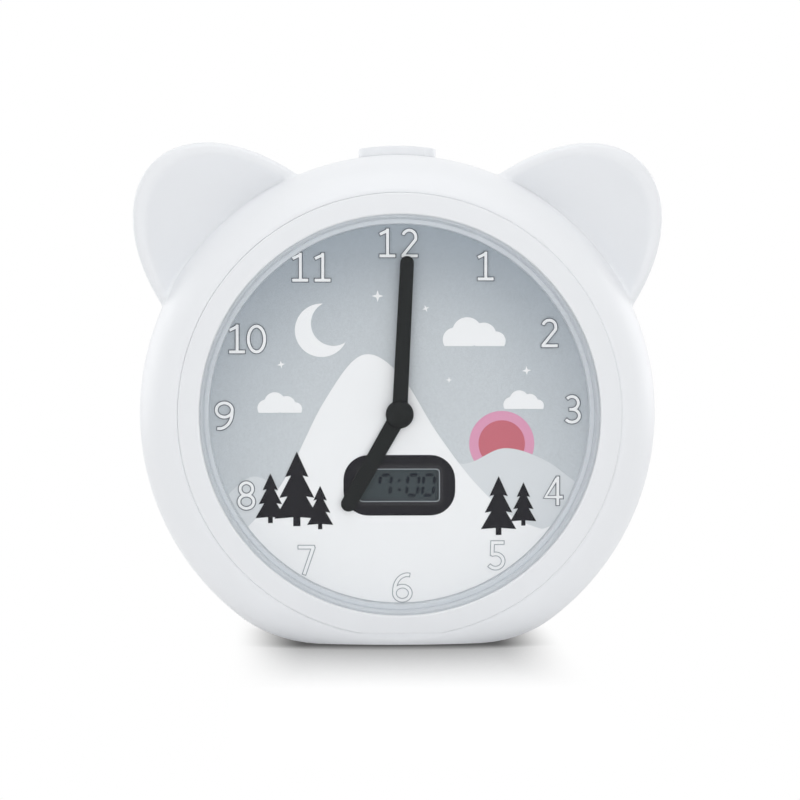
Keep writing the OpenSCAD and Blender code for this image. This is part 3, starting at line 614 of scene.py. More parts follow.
class CLOCK_OT_shells(bpy.types.Operator):
    """Moulds the two halves of the case with their ears, openings and battery bay"""

    bl_idname = "clock.shells"
    bl_label = "Shells"

    def execute(self, context):
        body = turned("case", case_outline(0), 192)
        for side in (1, -1):
            cut(body, ear(side), "UNION")
        applied(body, "REMESH", mode="VOXEL", voxel_size=mm("skin"), adaptivity=0)
        applied(body, "SMOOTH", factor=0.5, iterations=2)
        on_base(body, 0)
        groove(body, mm("seam"))
        cut(body, on_base(turned("hollow", case_outline(WALL, SEAT - 2), 192), WALL))
        cut(body, push_bar("push well", 0.3, 70, 95))
        front = twin(body, "front_half")
        rear = joined("rear_half", [body])
        sliced(front, True)
        sliced(rear, False)

        fit = RING_R + 0.05
        seat = turned("seat", [(fit, SEAT), (fit, 27.85), (fit + 0.8, 28.65), (fit + 0.8, 60)], 256)
        keep = block("flat", (-90, 90), (RING_FLAT - 0.05, 90), (0, 90))
        cut(front, cut(seat, keep, "INTERSECT"))
        cut(front, rod("bore", 0, 0, 66, 1, SEAT + 1, around=192))

        posts = [polar(POST_R, angle) for angle in POST_ANGLES]
        studs = joined("posts", [rod("post", x, y, 4.5, REAR, 0) for x, y in posts])
        cut(studs, turned("skin", case_outline(1.1), 128), "INTERSECT")
        cut(rear, studs, "UNION")
        cut(rear, block("bay", (-30.5, 30.5), (-55.2, -5.8), (-31, -12.3)), "UNION")
        cut(rear, rod("boss", 0, LUG_Y, 3.2, -31, -22), "UNION")
        tools = [
            block("bay", (-28.6, 28.6), (-53.3, -7.7), (-40, -13.8)),
            rod("door screw", 0, LUG_Y, 1.8, -40, -23),
            block("slot", (-4.2, 4.2), (KEY_Y - 2.3, KEY_Y + 2.3), (-40, -28)),
        ]
        tools += [rod("key hole", x, KEY_Y, 4.7, REAR - 1, -28, 0.35) for x in KEY_X]
        for x in (-TAB_X, TAB_X):
            tools.append(block("tab slot", (x - 4.5, x + 4.5), (-55.3, -52.3), (-31, -26.8)))
        for x, y in posts:
            tools += [rod("recess", x, y, 3.2, -40, -10), rod("hole", x, y, 1.4, -12, 5)]
        for tool in tools:
            cut(rear, tool)
        cut(rear, door_plate("door seat", 0.2, REAR - 1, REAR + DOOR_T))
        hole = rod("sound hole", 0, 0, 1.2, REAR - 1, -28, 0.2, 24)
        holes = [shifted(hole, (0, 38, 0))]
        for ring in (1, 2):
            for k in range(6 * ring):
                holes.append(twin(holes[0], "sound hole", (*polar(4.6 * ring, 60 * k / ring), 0)))
        cut(rear, joined("sound holes", holes))
        for piece, name in ((front, "front_shell"), (rear, "rear_shell")):
            tidy(piece, 0.003)
            stand(piece, MATERIAL["shell"], "case", "shell_white", name, smooth=38)
        return {"FINISHED"}


def groove(obj, half):
    """Presses a shallow groove into the skin where the two halves meet."""
    only(obj)
    mode("EDIT")
    for z in (-half, 0, half):
        bpy.ops.mesh.select_all(action="SELECT")
        bpy.ops.mesh.bisect(plane_co=(0, 0, z), plane_no=(0, 0, 1))
    bpy.ops.mesh.select_all(action="DESELECT")
    mode("OBJECT")
    for vertex in obj.data.vertices:
        vertex.select = abs(vertex.co.z) < half / 20
    mode("EDIT")
    bpy.ops.mesh.select_mode(type="VERT")
    bpy.ops.transform.shrink_fatten(value=-half)
    mode("OBJECT")


class CLOCK_OT_front_ring(bpy.types.Operator):
    """Turns the flat-bottomed ring around the lens"""

    bl_idname = "clock.front_ring"
    bl_label = "Front ring"

    def execute(self, context):
        outline = (
            [(65.5, SEAT), (RING_R, SEAT)]
            + arc(RING_R - 0.6, 28.75, 0.6, 0, 74, 6)
            + arc(53.2, -31.23, 63, 74, 79.5, 13)[1:-1]
            + arc(RING_HOLE_R + 0.5, 30.25, 0.5, 80, 180, 5)
            + [(RING_HOLE_R, LENS_TOP), (65.5, LENS_TOP)]
        )
        ring = turned("front_ring", outline, 256, closed=True)
        keep = block("flat", (-90, 90), (RING_FLAT, 90), (0, 90))
        cut(ring, keep, "INTERSECT")
        stand(ring, MATERIAL["ring"], "case", "ring_white", "bezel_ring", smooth=38)
        return {"FINISHED"}


class CLOCK_OT_dial_ring(bpy.types.Operator):
    """Turns the stepped ring between the lens and the dial"""

    bl_idname = "clock.dial_ring"
    bl_label = "Dial ring"

    def execute(self, context):
        outline = [
            (61.0, DIAL_FRONT), (61.25, 22.9), (61.45, 23.1), (62.6, 23.3), (62.75, 23.2),
            (63.2, 26.9), (63.4, 27.25), (63.6, 27.35), (65.4, 27.35), (65.4, DIAL_FRONT),
        ]
        ring = turned("dial_ring", outline, 256, closed=True)
        stand(ring, MATERIAL["surround"], "case", "surround_grey", "dial_surround", smooth=30)
        return {"FINISHED"}


class CLOCK_OT_push_button(bpy.types.Operator):
    """Shapes the wide push button on top, with its crowned face and rounded edges"""

    bl_idname = "clock.push_button"
    bl_label = "Push button"

    def execute(self, context):
        button = push_bar("push_button", 0, 76, 95)
        cut(button, rod("crown", 0, 0, CASE_R + 2.9, -20, 20, around=512), "INTERSECT")
        eased(button, mm("edge"), 4)
        cut(button, push_bar("under", -1.6, 70, CASE_R - 1))
        cut(button, shifted(rod("stem", 0, 0, 3, 74.1, CASE_R), (0, 0, -1), UPRIGHT), "UNION")
        stand(button, MATERIAL["shell"], "snooze", "shell_white", "snooze_button", smooth=30)
        return {"FINISHED"}


class CLOCK_OT_feet(bpy.types.Operator):
    """Turns four rubber feet"""

    bl_idname = "clock.feet"
    bl_label = "Feet"

    def execute(self, context):
        first = turned("feet", [(3.2, 0)] + arc(3.65, 0.35, 0.35, -90, 0, 4) + [(4, 1.6)], 48)
        shifted(first, turn=UPRIGHT)
        places = [(s * 21, -DIAL_HEIGHT, z) for s in (-1, 1) for z in (16, -20)]
        feet = joined("feet", [twin(first, "foot", place) for place in places])
        bpy.data.objects.remove(first)
        stand(feet, MATERIAL["rubber"], "case", "feet_rubber", "rubber_feet")
        return {"FINISHED"}


# ------------------------------------------------------------------ dial and display


def layer(number):
    """The depths between which a printed layer lies on the dial."""
    low = DIAL_FRONT + 0.01 + number * mm("ink") * 1.5
    return low, low + mm("ink")


def hill(name, heights, number):
    """A printed hill: a smooth line through heights at even steps, filled down to the dial's rim."""
    steps, rim = 72, DIAL_R
    count = len(heights) - 1
    line = []
    for i in range(steps + 1):
        x = -rim + 2 * rim * i / steps
        t = count * i / steps
        k = min(int(t), count - 1)
        p = [heights[min(max(k + j, 0), count)] for j in (-1, 0, 1, 2)]
        u = t - k
        y = 0.5 * (
            2 * p[1] + (p[2] - p[0]) * u + (2 * p[0] - 5 * p[1] + 4 * p[2] - p[3]) * u * u
            + (3 * p[1] - p[0] - 3 * p[2] + p[3]) * u ** 3
        )
        line.append((x, y))
    low, high = layer(number)
    far = rim + 10
    foot = [(far, line[-1][1]), (far, -80), (-far, -80), (-far, line[0][1])]
    shape = drawn(name, line + foot, low - 1, high + 1)
    cut(shape, rod("dial", 0, 0, rim, low, high, around=160), "INTERSECT")
    return shape


def disc(name, x, y, r, number):
    """A printed disc."""
    return rod(name, x, y, r, *layer(number), around=64)


def star(x, y, r, turn):
    """A printed star with four points."""
    tips = [polar(r * (0.34 if i % 2 else 1), turn + 45 * i) for i in range(8)]
    return drawn("star", [(x + a, y + b) for a, b in tips], *layer(1))


def fir(x, y, height, number):
    """A printed fir tree of three tiers."""
    w = height * 0.30
    half = [
        (0.0, 1.0), (0.52, 0.66), (0.26, 0.68), (0.78, 0.38), (0.42, 0.40), (1.0, 0.10),
        (0.16, 0.12), (0.16, 0.0),
    ]
    right = [(x + w * a, y + height * b) for a, b in half]
    left = [(x - w * a, y + height * b) for a, b in reversed(half[1:])]
    return drawn("fir", right + left, *layer(number))


def cloud(x, y, size, number):
    """A printed cloud of four lobes with a flat foot."""
    lobes = [(-1.0, 0.0, 0.62), (-0.35, 0.38, 0.78), (0.5, 0.2, 0.68), (1.15, -0.08, 0.5)]
    made, *others = [disc("cloud", x + size * a, y + size * b, size * r, number) for a, b, r in lobes]
    for lobe in others:
        cut(made, lobe, "UNION")
    low, high = layer(number)
    cut(made, block("under", (x - 40, x + 40), (y - 40, y - size * 0.34), (low - 1, high + 1)))
    return made


class CLOCK_OT_dial(bpy.types.Operator):
    """Prints a snowy night scene on the dial"""

    bl_idname = "clock.dial"
    bl_label = "Dial"

    def execute(self, context):
        far = hill("far_hills", [-30, -20, -25, -12, -4, -9, -16, -11, -15, -24], 2)
        mountain = hill("snow_hill", [-44, -36, -20, 4, 19, 13, -6, -22, -33, -38, -42], 3)
        sun = disc("low_sun", 33, -9.5, 7.5, 1.2)
        glow = disc("sun_glow", 33, -9.5, 10.5, 0.4)
        near = hill("near_snow", [-36, -42, -47, -49, -47, -44, -38, -33], 5)
        for shape in (far, mountain):
            cut(shape, rod("hub", 0, 0, HUB_R, *THROUGH))
        plaque = drawn("display_ground", rounded(36, 19.5, 8, y=LCD_Y), *layer(5))
        for shape in (plaque, mountain, far):
            cut(shape, drawn("window", rounded(*LCD_WINDOW, y=LCD_Y), *THROUGH))
        moon = disc("moon", -25, 27, 8.6, 1)
        cut(moon, rod("bite", -21.2, 29.2, 7.2, *THROUGH, around=64))
        whites = [moon, cloud(24, 24, 6.2, 1), cloud(-38.5, 2, 4.4, 2.4), cloud(40, 3, 4.0, 2.4)]
        whites += [star(*values) for values in (
            (-7, 38, 1.9, 0), (8.5, 34, 1.2, 20), (-38, 16, 1.3, 10),
            (41, 14, 1.5, 5), (-13, 17, 1.1, 30), (16, 11, 1.0, 0),
        )]
        firs = [fir(*values) for values in (
            (-33, -36, 24, 6), (-41.5, -35, 16, 5.4), (-25.5, -37, 14, 6.6),
            (32, -39, 19, 6), (40, -36, 14, 5.4),
        )]
        pieces = (
            (far, "far_snow"), (mountain, "snow"), (sun, "sun"), (glow, "glow"), (near, "snow"),
            (plaque, "dark"), (joined("sky_print", whites), "snow"),
            (joined("fir_print", firs), "dark"),
        )
        for piece, tone in pieces:
            stand(piece, INK[tone], "case", "dial_print", smooth=0)
        return {"FINISHED"}


# Each digit's pen strokes in a box one unit high. A stroke that ends where it starts is a loop.
DIGIT_STROKES = {
    "0": (arc(0.19, 0.5, 0.24, 0, 360, 40, 0.443),),
    "1": ([(0.05, 0.80), (0.28, 0.93)], [(0.28, 1.0), (0.28, 0.06)], [(0.04, 0.057), (0.51, 0.057)]),
    "2": (
        arc(0.26, 0.70, 0.195, 160, -22, 16, 0.243) + [(0.07, 0.075)],
        [(0.03, 0.057), (0.51, 0.057)],
    ),
    "3": (
        arc(0.22, 0.722, 0.19, 140, -90, 16, 0.221) + [(0.14, 0.501)],
        [(0.14, 0.501)] + arc(0.22, 0.279, 0.22, 90, -145, 18, 0.222),
    ),
    "4": ([(0.37, 0.93), (0.035, 0.285), (0.55, 0.285)], [(0.40, 1.0), (0.40, 0)]),
    "5": (
        [(0.46, 0.943), (0.13, 0.943), (0.115, 0.50)],
        [(0.115, 0.53)] + arc(0.215, 0.305, 0.23, 95, -142, 20, 0.248),
    ),
    "6": (arc(0.295, 0.305, 0.235, 0, 360, 32, 0.245), arc(0.44, 0.40, 0.375, 80, 182, 18, 0.545)),
    "7": ([(0.03, 0.943), (0.50, 0.943)], [(0.475, 0.943), (0.20, 0.0)]),
    "8": (arc(0.28, 0.73, 0.185, 0, 360, 32, 0.213), arc(0.28, 0.285, 0.22, 0, 360, 32, 0.228)),
    "9": (arc(0.275, 0.695, 0.235, 0, 360, 32, 0.245), arc(0.13, 0.60, 0.375, -100, 2, 18, 0.545)),
}
NUMERALS = (
    ("12", -0.2, 55.0), ("1", 27.8, 47.6), ("2", 48.5, 26.1), ("3", 56.3, 1.5),
    ("4", 49.8, -24.8), ("5", 31.7, -45.6), ("6", 0.8, -55.9), ("7", -29.8, -46.9),
    ("8", -49.2, -26.1), ("9", -56.2, -0.4), ("10", -48.5, 24.2), ("11", -28.2, 47.2),
)
# The numerals below this height lie on the snow, and have a paler line
SNOW_LINE = -40


def is_loop(points):
    return dist(points[0], points[-1]) < 1e-6


def beside(points, distance):
    """The same stroke drawn at a distance to its left, with mitred corners."""
    loop = is_loop(points)
    run = points[:-1] if loop else points
    moved = []
    last = len(run) - 1
    for i, (x, y) in enumerate(run):
        before = run[i - 1] if loop else run[max(i - 1, 0)]
        after = run[(i + 1) % len(run)] if loop else run[min(i + 1, last)]
        sides = []
        for (x0, y0), (x1, y1) in ((before, (x, y)), ((x, y), after)):
            far = hypot(x1 - x0, y1 - y0)
            if far:
                sides.append(((y0 - y1) / far, (x1 - x0) / far))
        nx, ny = sum(a for a, _ in sides) / len(sides), sum(b for _, b in sides) / len(sides)
        share = distance / max(nx * nx + ny * ny, 0.35)
        moved.append((x + nx * share, y + ny * share))
    return moved, loop


def stroke(points, width, low, high):
    """A pen stroke as a flat band; an open one is lengthened by how far it is widened."""
    left, loop = beside(points, width / 2)
    right, _ = beside(points, -width / 2)
    if not loop:
        return drawn("stroke", left + right[::-1], low, high)
    outer, inner = (left, right) if left[0][0] > right[0][0] else (right, left)
    return cut(drawn("stroke", outer, low, high), drawn("inside", inner, low - 1, high + 1))


def lettered(text, x, y, grow, number):
    """A numeral in flat print around (x, y), made wider all round by grow."""
    low, high = layer(number)
    size = mm("numeral")
    broad, half, step = size * 1.17, 0.28, 0.66
    start = x - broad * (half + step / 2 * (len(text) - 1))
    whole = None
    for i, digit in enumerate(text):
        for path in DIGIT_STROKES[digit]:
            points = [(start + broad * (a + step * i), y + size * (b - 0.5)) for a, b in path]
            if not is_loop(points):
                for end, beyond in ((0, 1), (-1, -2)):
                    (x0, y0), (x1, y1) = points[end], points[beyond]
                    far = hypot(x0 - x1, y0 - y1)
                    points[end] = (x0 + (x0 - x1) / far * grow, y0 + (y0 - y1) / far * grow)
            band = stroke(points, mm("pen") + 2 * grow, low, high)
            whole = band if whole is None else cut(whole, band, "UNION", "EXACT")
    return whole


class CLOCK_OT_numerals(bpy.types.Operator):
    """Prints the twelve outlined numerals"""

    bl_idname = "clock.numerals"
    bl_label = "Numerals"

    def execute(self, context):
        line = mm("outline")
        upper = [numeral for numeral in NUMERALS if numeral[2] > SNOW_LINE]
        lower = [numeral for numeral in NUMERALS if numeral[2] < SNOW_LINE]
        for name, tone, numerals, grow, number in (
            ("numeral_lines", "line", upper, line, 8),
            ("numeral_pale_lines", "pale line", lower, line, 8),
            ("numeral_fills", "snow", NUMERALS, 0, 9),
        ):
            prints = [lettered(*numeral, grow, number) for numeral in numerals]
            stand(joined(name, prints), INK[tone], "case", "dial_print", smooth=0)
        return {"FINISHED"}


# Which bars each digit of the display lights: a top, b upper right, c lower right, d foot,
# e lower left, f upper left. Neither digit needs the middle one
DIGITS = {"7": "abcf", "0": "abcdef"}
# The share of a digit's height between the middle lines of its top and foot bars
BAR_SHARE = 0.885


def segment(which, x, y, height):
    """One bar of a display digit, leaning to the right, around (x, y)."""
    w, h = height * 0.54 / 2, height / 2
    half, gap, lean = height * 0.165 / 2, height * 0.05, tan(radians(5))
    (x0, y0), (x1, y1) = {
        "a": ((-w, h), (w, h)), "b": ((w, h), (w, 0)), "c": ((w, 0), (w, -h)),
        "d": ((-w, -h), (w, -h)), "e": ((-w, 0), (-w, -h)), "f": ((-w, h), (-w, 0)),
    }[which]
    far = hypot(x1 - x0, y1 - y0)
    ux, uy = (x1 - x0) / far, (y1 - y0) / far
    near, end = gap + half, far - gap - half
    shape = [(gap, 0), (near, half), (end, half), (far - gap, 0), (end, -half), (near, -half)]
    points = []
    for a, b in shape:
        px, py = x0 + ux * a - uy * b, y0 + uy * a + ux * b
        points.append((x + px + lean * py, y + py))
    return points


class CLOCK_OT_display(bpy.types.Operator):
    """Sets the digits behind the window and the frame around it"""

    bl_idname = "clock.display"
    bl_label = "Display"

    def execute(self, context):
        height = mm("digit") * BAR_SHARE
        bars = []
        for digit, x in (("7", -4.55), ("0", 4.35), ("0", 9.45)):
            for which in DIGITS[digit]:
                bars.append(drawn("bar", segment(which, x, LCD_Y, height), *BAR_DEPTHS))
        for y in (1.5, -1.5):
            bars.append(drawn("colon", rounded(1.0, 1.0, 0.3, 3, y=y + LCD_Y), *BAR_DEPTHS))
        stand(joined("display_digits", bars), INK["digit"], "case", "lcd_face", smooth=0)
        top = DIAL_FRONT + 0.3
        rim = drawn("display_frame", rounded(28.4, 13, 2.4, y=LCD_Y), DIAL_FRONT + 0.17, top)
        cut(rim, drawn("neck", rounded(*LCD_WINDOW, y=LCD_Y), 19.7, DIAL_FRONT + 0.2), "UNION")
        cut(rim, drawn("window", rounded(26, 10.6, 1.2, y=LCD_Y), *THROUGH))
        stand(rim, MATERIAL["frame"], "case", "frame_grey", "lcd_frame", smooth=30)
        edge = drawn("window_edge", rounded(26.1, 10.7, 1.25, y=LCD_Y), top, DIAL_FRONT + 0.4)
        cut(edge, drawn("window", rounded(25.5, 10.1, 1.0, y=LCD_Y), *THROUGH))
        eased(edge, 0.05, 2)
        stand(edge, MATERIAL["edge"], "case", "frame_grey", smooth=30)
        return {"FINISHED"}


def hand(name, reach, hub, bore, low, angle, broad=0.0):
    """A tapered hand with a round tip and hub and eased edges."""
    root, tip = 4.9 + broad, 4.4 + broad
    outline = [(root / 2, 0)] + arc(0, reach - tip / 2, tip / 2, 0, 180, 16) + [(-root / 2, 0)]
    obj = drawn(name, outline, low, low + 0.8)
    cut(obj, rod("hub", 0, 0, hub, low, low + 0.8, around=64), "UNION")
    eased(obj, 0.22, 3)
    cut(obj, rod("bore", 0, 0, bore, low - 1, low + 2))
    return shifted(obj, turn=(0, 0, -radians(angle)))


class CLOCK_OT_hands(bpy.types.Operator):
    """Shapes both hands and the cap over them"""

    bl_idname = "clock.hands"
    bl_label = "Hands"

    def execute(self, context):
        long = hand("minute_pointer", 50.9, 3.6, 0.8, 22.6, 2.8)
        short = hand("hour_pointer", 35.6, 4.2, 2.0, 21.0, 209.6, 0.5)
        dome = [(4.3, 23.4), (4.5, 23.55)] + arc(0, 20.8, 5.2, 31.5, 88, 12)
        cap = turned("pointer_cap", dome, 64)
        stand(long, MATERIAL["hand"], "minute_train", "hand_black", "minute_hand")
        stand(short, MATERIAL["hand"], "hour_train", "hand_black", "hour_hand")
        stand(cap, MATERIAL["hand"], "minute_train", "cap_black", "hand_cap")
        return {"FINISHED"}


# ------------------------------------------------------------------ back


class CLOCK_OT_back_controls(bpy.types.Operator):
    """Shapes the four keys and the slider on the back"""

    bl_idname = "clock.back_controls"
    bl_label = "Keys and slider"

    def execute(self, context):
        outline = (
            [(1, -33.05), (2.6, -33.1)] + arc(3.9, -32.8, 0.6, -105, 0, 6)
            + [(4.5, -29.5), (5.7, -29.5), (5.7, -28.5), (2, -28.5), (2, -26.5)]
        )
        first = turned("key", outline, 64)
        for i, x in enumerate(KEY_X, 1):
            key = twin(first, f"set_key_{i}", (x, KEY_Y, 0))
            stand(key, MATERIAL["key"], f"key_body_{i}", "key_plastic", f"key_{i}")
        bpy.data.objects.remove(first)
        knob = block("slide_knob", (-2, 2), (-2, 2), (-33, -29.3))
        for x in (-1.1, 0, 1.1):
            cut(knob, block("rib", (x - 0.22, x + 0.22), (-3, 3), (-34, -32.7)), solver="EXACT")
        eased(knob, 0.15, 2)
        cut(knob, block("plate", (-6, 6), (-3.2, 3.2), (-29.5, -28.5)), "UNION", "EXACT")
        cut(knob, block("fork", (-1, 1), (-1, 1), (-29, -24.7)), "UNION", "EXACT")
        shifted(knob, (-1.5, KEY_Y, 0))
        stand(knob, MATERIAL["key"], "slider", "key_plastic", "alarm_slider")
        return {"FINISHED"}


class CLOCK_OT_battery_door(bpy.types.Operator):
    """Shapes the battery door with its screw lug, grip and hooks"""

    bl_idname = "clock.battery_door"
    bl_label = "Battery door"

    def execute(self, context):
        door = door_plate("battery_cover", 0, REAR, REAR + DOOR_T)
        eased(door, 0.35, 3)
        cut(door, rod("screw seat", 0, LUG_Y, 2.7, REAR - 3, REAR + 0.9))
        cut(door, rod("screw hole", 0, LUG_Y, 1.3, REAR - 3, REAR + 3))
        for i in range(5):
            grip = rounded(16 - 2 * i, 0.8, 0.38, 4, y=-12.5 - 1.6 * i)
            cut(door, drawn("grip", grip, REAR - 1, REAR + 0.45))
        for x in (-TAB_X, TAB_X):
            for name, y, low in (("hook", (-54.9, -53), 1.4), ("lip", (-57.2, -53.9), 2.5)):
                cut(door, block(name, (x - 4, x + 4), y, (REAR + low, REAR + 4.1)), "UNION")
        stand(door, MATERIAL["shell"], "door", "shell_white", "battery_door")
        return {"FINISHED"}


# ------------------------------------------------------------------ finishes of the inner pieces

MATERIAL = {}
INK = {}


class CLOCK_OT_finishes(bpy.types.Operator):
    """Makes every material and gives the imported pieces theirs"""

    bl_idname = "clock.finishes"
    bl_label = "Finishes"

    def execute(self, context):
        shell, ring, hands = hue("shell"), hue("ring"), hue("hands")
        MATERIAL.update(
            # Satin ABS: soft broad highlights over a fine grain
            shell=moulded("moulded ABS, satin white", shell, 0.42, 0.35, 0.006, 0.45),
            ring=moulded("moulded ABS, ring white", ring, 0.36, 0.35, 0.005, 0.45),
            surround=moulded("moulded ABS, silver grey", hue("surround"), 0.3, 0.3, 0.003, 0.5),
            key=moulded("moulded ABS, key white", ring, 0.45, 0.3, 0.008),
            frame=moulded("moulded ABS, frame charcoal", hue("dark"), 0.45, 0.25, 0.004, 0.4, 0.9),
            edge=moulded("moulded ABS, window edge grey", paint("#9aa0a5"), 0.4, 0.25, 0.004),
            # Natural rubber: dull and open-grained
            rubber=moulded("rubber, foot grey", paint("#5f6265"), 0.85, 0.4, 0.03, 0.2, 0.9),
            # Enamel on pressed aluminium: dark, with a soft sheen
            hand=moulded("enamelled aluminium, charcoal", hands, 0.42, 0.3, 0.004, 0.2, 0.95),
        )
        for tone in ("snow", "far_snow", "dark", "sun", "glow"):
            INK[tone] = inked("screen ink, " + tone.replace("_", " "), hue(tone))
        INK["line"] = inked("screen ink, numeral line", paint("#5d646c"))
        INK["pale line"] = inked("screen ink, pale numeral line", paint("#a3a8ae"))
        INK["digit"] = inked("liquid crystal, dark bars", paint("#242931"), 0.3)

        plain = {
            "lens": clear_acrylic("acrylic, clear polished"),
            "dial_plate": printed_sky("printed film, night sky", hue("sky_high"), hue("sky_low")),
            "light_board": circuit("glass-fibre board, white mask", paint("#dfe1de"), paint("#c3c6c2")),
        }
        # Moulded and pressed pieces: colour, roughness, grain and relief in millimetres, and for
        # some the strength of the highlight and of the mottle
        for name, words, code, *values in (
            ("lcd_glass", "liquid crystal glass, grey", "#434b4f", 0.3, 0.8, 0.001, 0.15, 0.93),
            ("chassis", "moulded ABS, carrier grey", "#cfd2d5", 0.55, 0.5, 0.02),
            ("display_chips", "epoxy, chip black", "#1b1c1e", 0.42, 0.2, 0.02, 0.5, 0.8),
            ("movement_plate", "acetal, natural", "#e6e3d8", 0.38, 0.5, 0.008, 0.5, 0.96),
            ("movement_cover", "acetal, natural cover", "#e2dfd3", 0.42, 0.5, 0.008, 0.5, 0.96),
            ("coil_bobbin", "nylon, bobbin blue", "#3a66a3", 0.4, 0.4, 0.01, 0.5, 0.92),
            ("rotor", "ferrite, rotor grey", "#4a4d51", 0.5, 0.25, 0.03, 0.4, 0.85),
            ("speaker_magnet", "sintered ferrite, dark grey", "#4c4f53", 0.6, 0.3, 0.04, 0.4, 0.85),
            ("key_switches", "nylon, switch black", "#1f2022", 0.45, 0.3, 0.01, 0.5, 0.85),
            ("snooze_switch", "nylon, switch black, top", "#1f2022", 0.45, 0.3, 0.01, 0.5, 0.85),
            ("snooze_plunger", "acetal, plunger grey", "#8c9094", 0.4, 0.4, 0.01),
            ("leads", "vinyl, lead red", "#a93a36", 0.35, 0.6, 0.01, 0.5, 0.9),
        ):
            plain[name] = moulded(words, paint(code), *values)
        # Striped pieces: two colours, pitch in millimetres, axis, share of the first colour,
        # roughness, and for some the metal and the relief
        for name, words, first, second, *values in (
            (
                "lcd_connectors", "layered rubber, pink and black",
                "#d98f9a", "#3c3135", 0.5, "X", 0.6, 0.7,
            ),
            (
                "light_leds", "light diode, phosphor in white epoxy",
                "#efe9d8", "#f0d069", 3.5, "X", 0.72, 0.3,
            ),
            (
                "stator", "laminated silicon steel",
                "#9a9da0", "#6e7174", 0.35, "Y", 0.7, 0.38, 1.0,
            ),
            (
                "coil_winding", "enamelled copper wire",
                "#b4642d", "#7c3d18", 0.22, "Z", 0.6, 0.3, 0.9, 0.08,
            ),
            (
                "speaker_cone", "pressed paper cone, black",
                "#202123", "#2b2c2e", 1.4, "Z", 0.5, 0.85, 0.0, 0.1,
            ),
            (
                "battery_cells", "printed cell sleeve",
                "#2f6f86", "#c9ccce", 50.5, "X", 0.74, 0.28,
            ),
        ):
            plain[name] = banded(words, paint(first), paint(second), *values)
        for material, names in (
            (
                metal("steel, zinc plated", paint("#b7babd"), 0.3),
                "case_screws chassis_screws board_screws movement_screws battery_door_screw"
                " minute_arbor speaker_frame speaker_clips",
            ),
            (
                metal("brass, turned", paint("#c9a451"), 0.28),
                "first_wheel second_wheel motion_wheel hour_wheel",
            ),
            (
                metal("spring steel, nickel plated", paint("#c4c2bc"), 0.22),
                "battery_terminals battery_springs battery_contacts",
            ),
            (
                circuit("glass-fibre board, green mask", paint("#1f5a3a"), paint("#37805a")),
                "display_board key_board snooze_board",
            ),
            (plain["snooze_plunger"], "key_plunger_1 key_plunger_2 key_plunger_3 key_plunger_4"),
        ):
            for name in names.split():
                plain[name] = material
        for name, material in plain.items():
            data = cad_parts[name].data
            data.materials.clear()
            data.materials.append(material)
        return {"FINISHED"}


# ------------------------------------------------------------------ stage

# In metres: how far the clock's painted soft shadow and the painted dark line of its contact reach on
# the floor, and between which distances from its middle, all round and sideways, the floor turns plain
# white
PAINTED_SHADOW_REACH = 0.13
PAINTED_LINE_REACH = 0.012
ROUND_FADE = (0.06, 0.34)
SIDE_FADE = (0.03, 0.054)


def straight(tree):
    """1 for rays that show the surface itself or mirror it, 0 for the light that it spreads."""
    seen = node(tree, "LightPath").outputs
    some = node(tree, "Math", {0: seen["Is Camera Ray"], 1: seen["Is Glossy Ray"]}, operation="MAXIMUM")
    return node(tree, "Math", {0: some, 1: seen["Is Transmission Ray"]}, operation="MAXIMUM")


def lamp(name, place, size, watts, mirrored=True):
    """A soft area lamp that faces the dial's middle."""
    obj = fresh(bpy.ops.object.light_add, name, type="AREA", location=place)
    obj.data.shape = "RECTANGLE"
    obj.data.size, obj.data.size_y = size
    obj.data.energy = watts
    obj.visible_glossy = mirrored
    facing = Vector((0, 0, DIAL_HEIGHT * MM)) - obj.location
    obj.rotation_euler = facing.to_track_quat("-Z", "Y").to_euler()


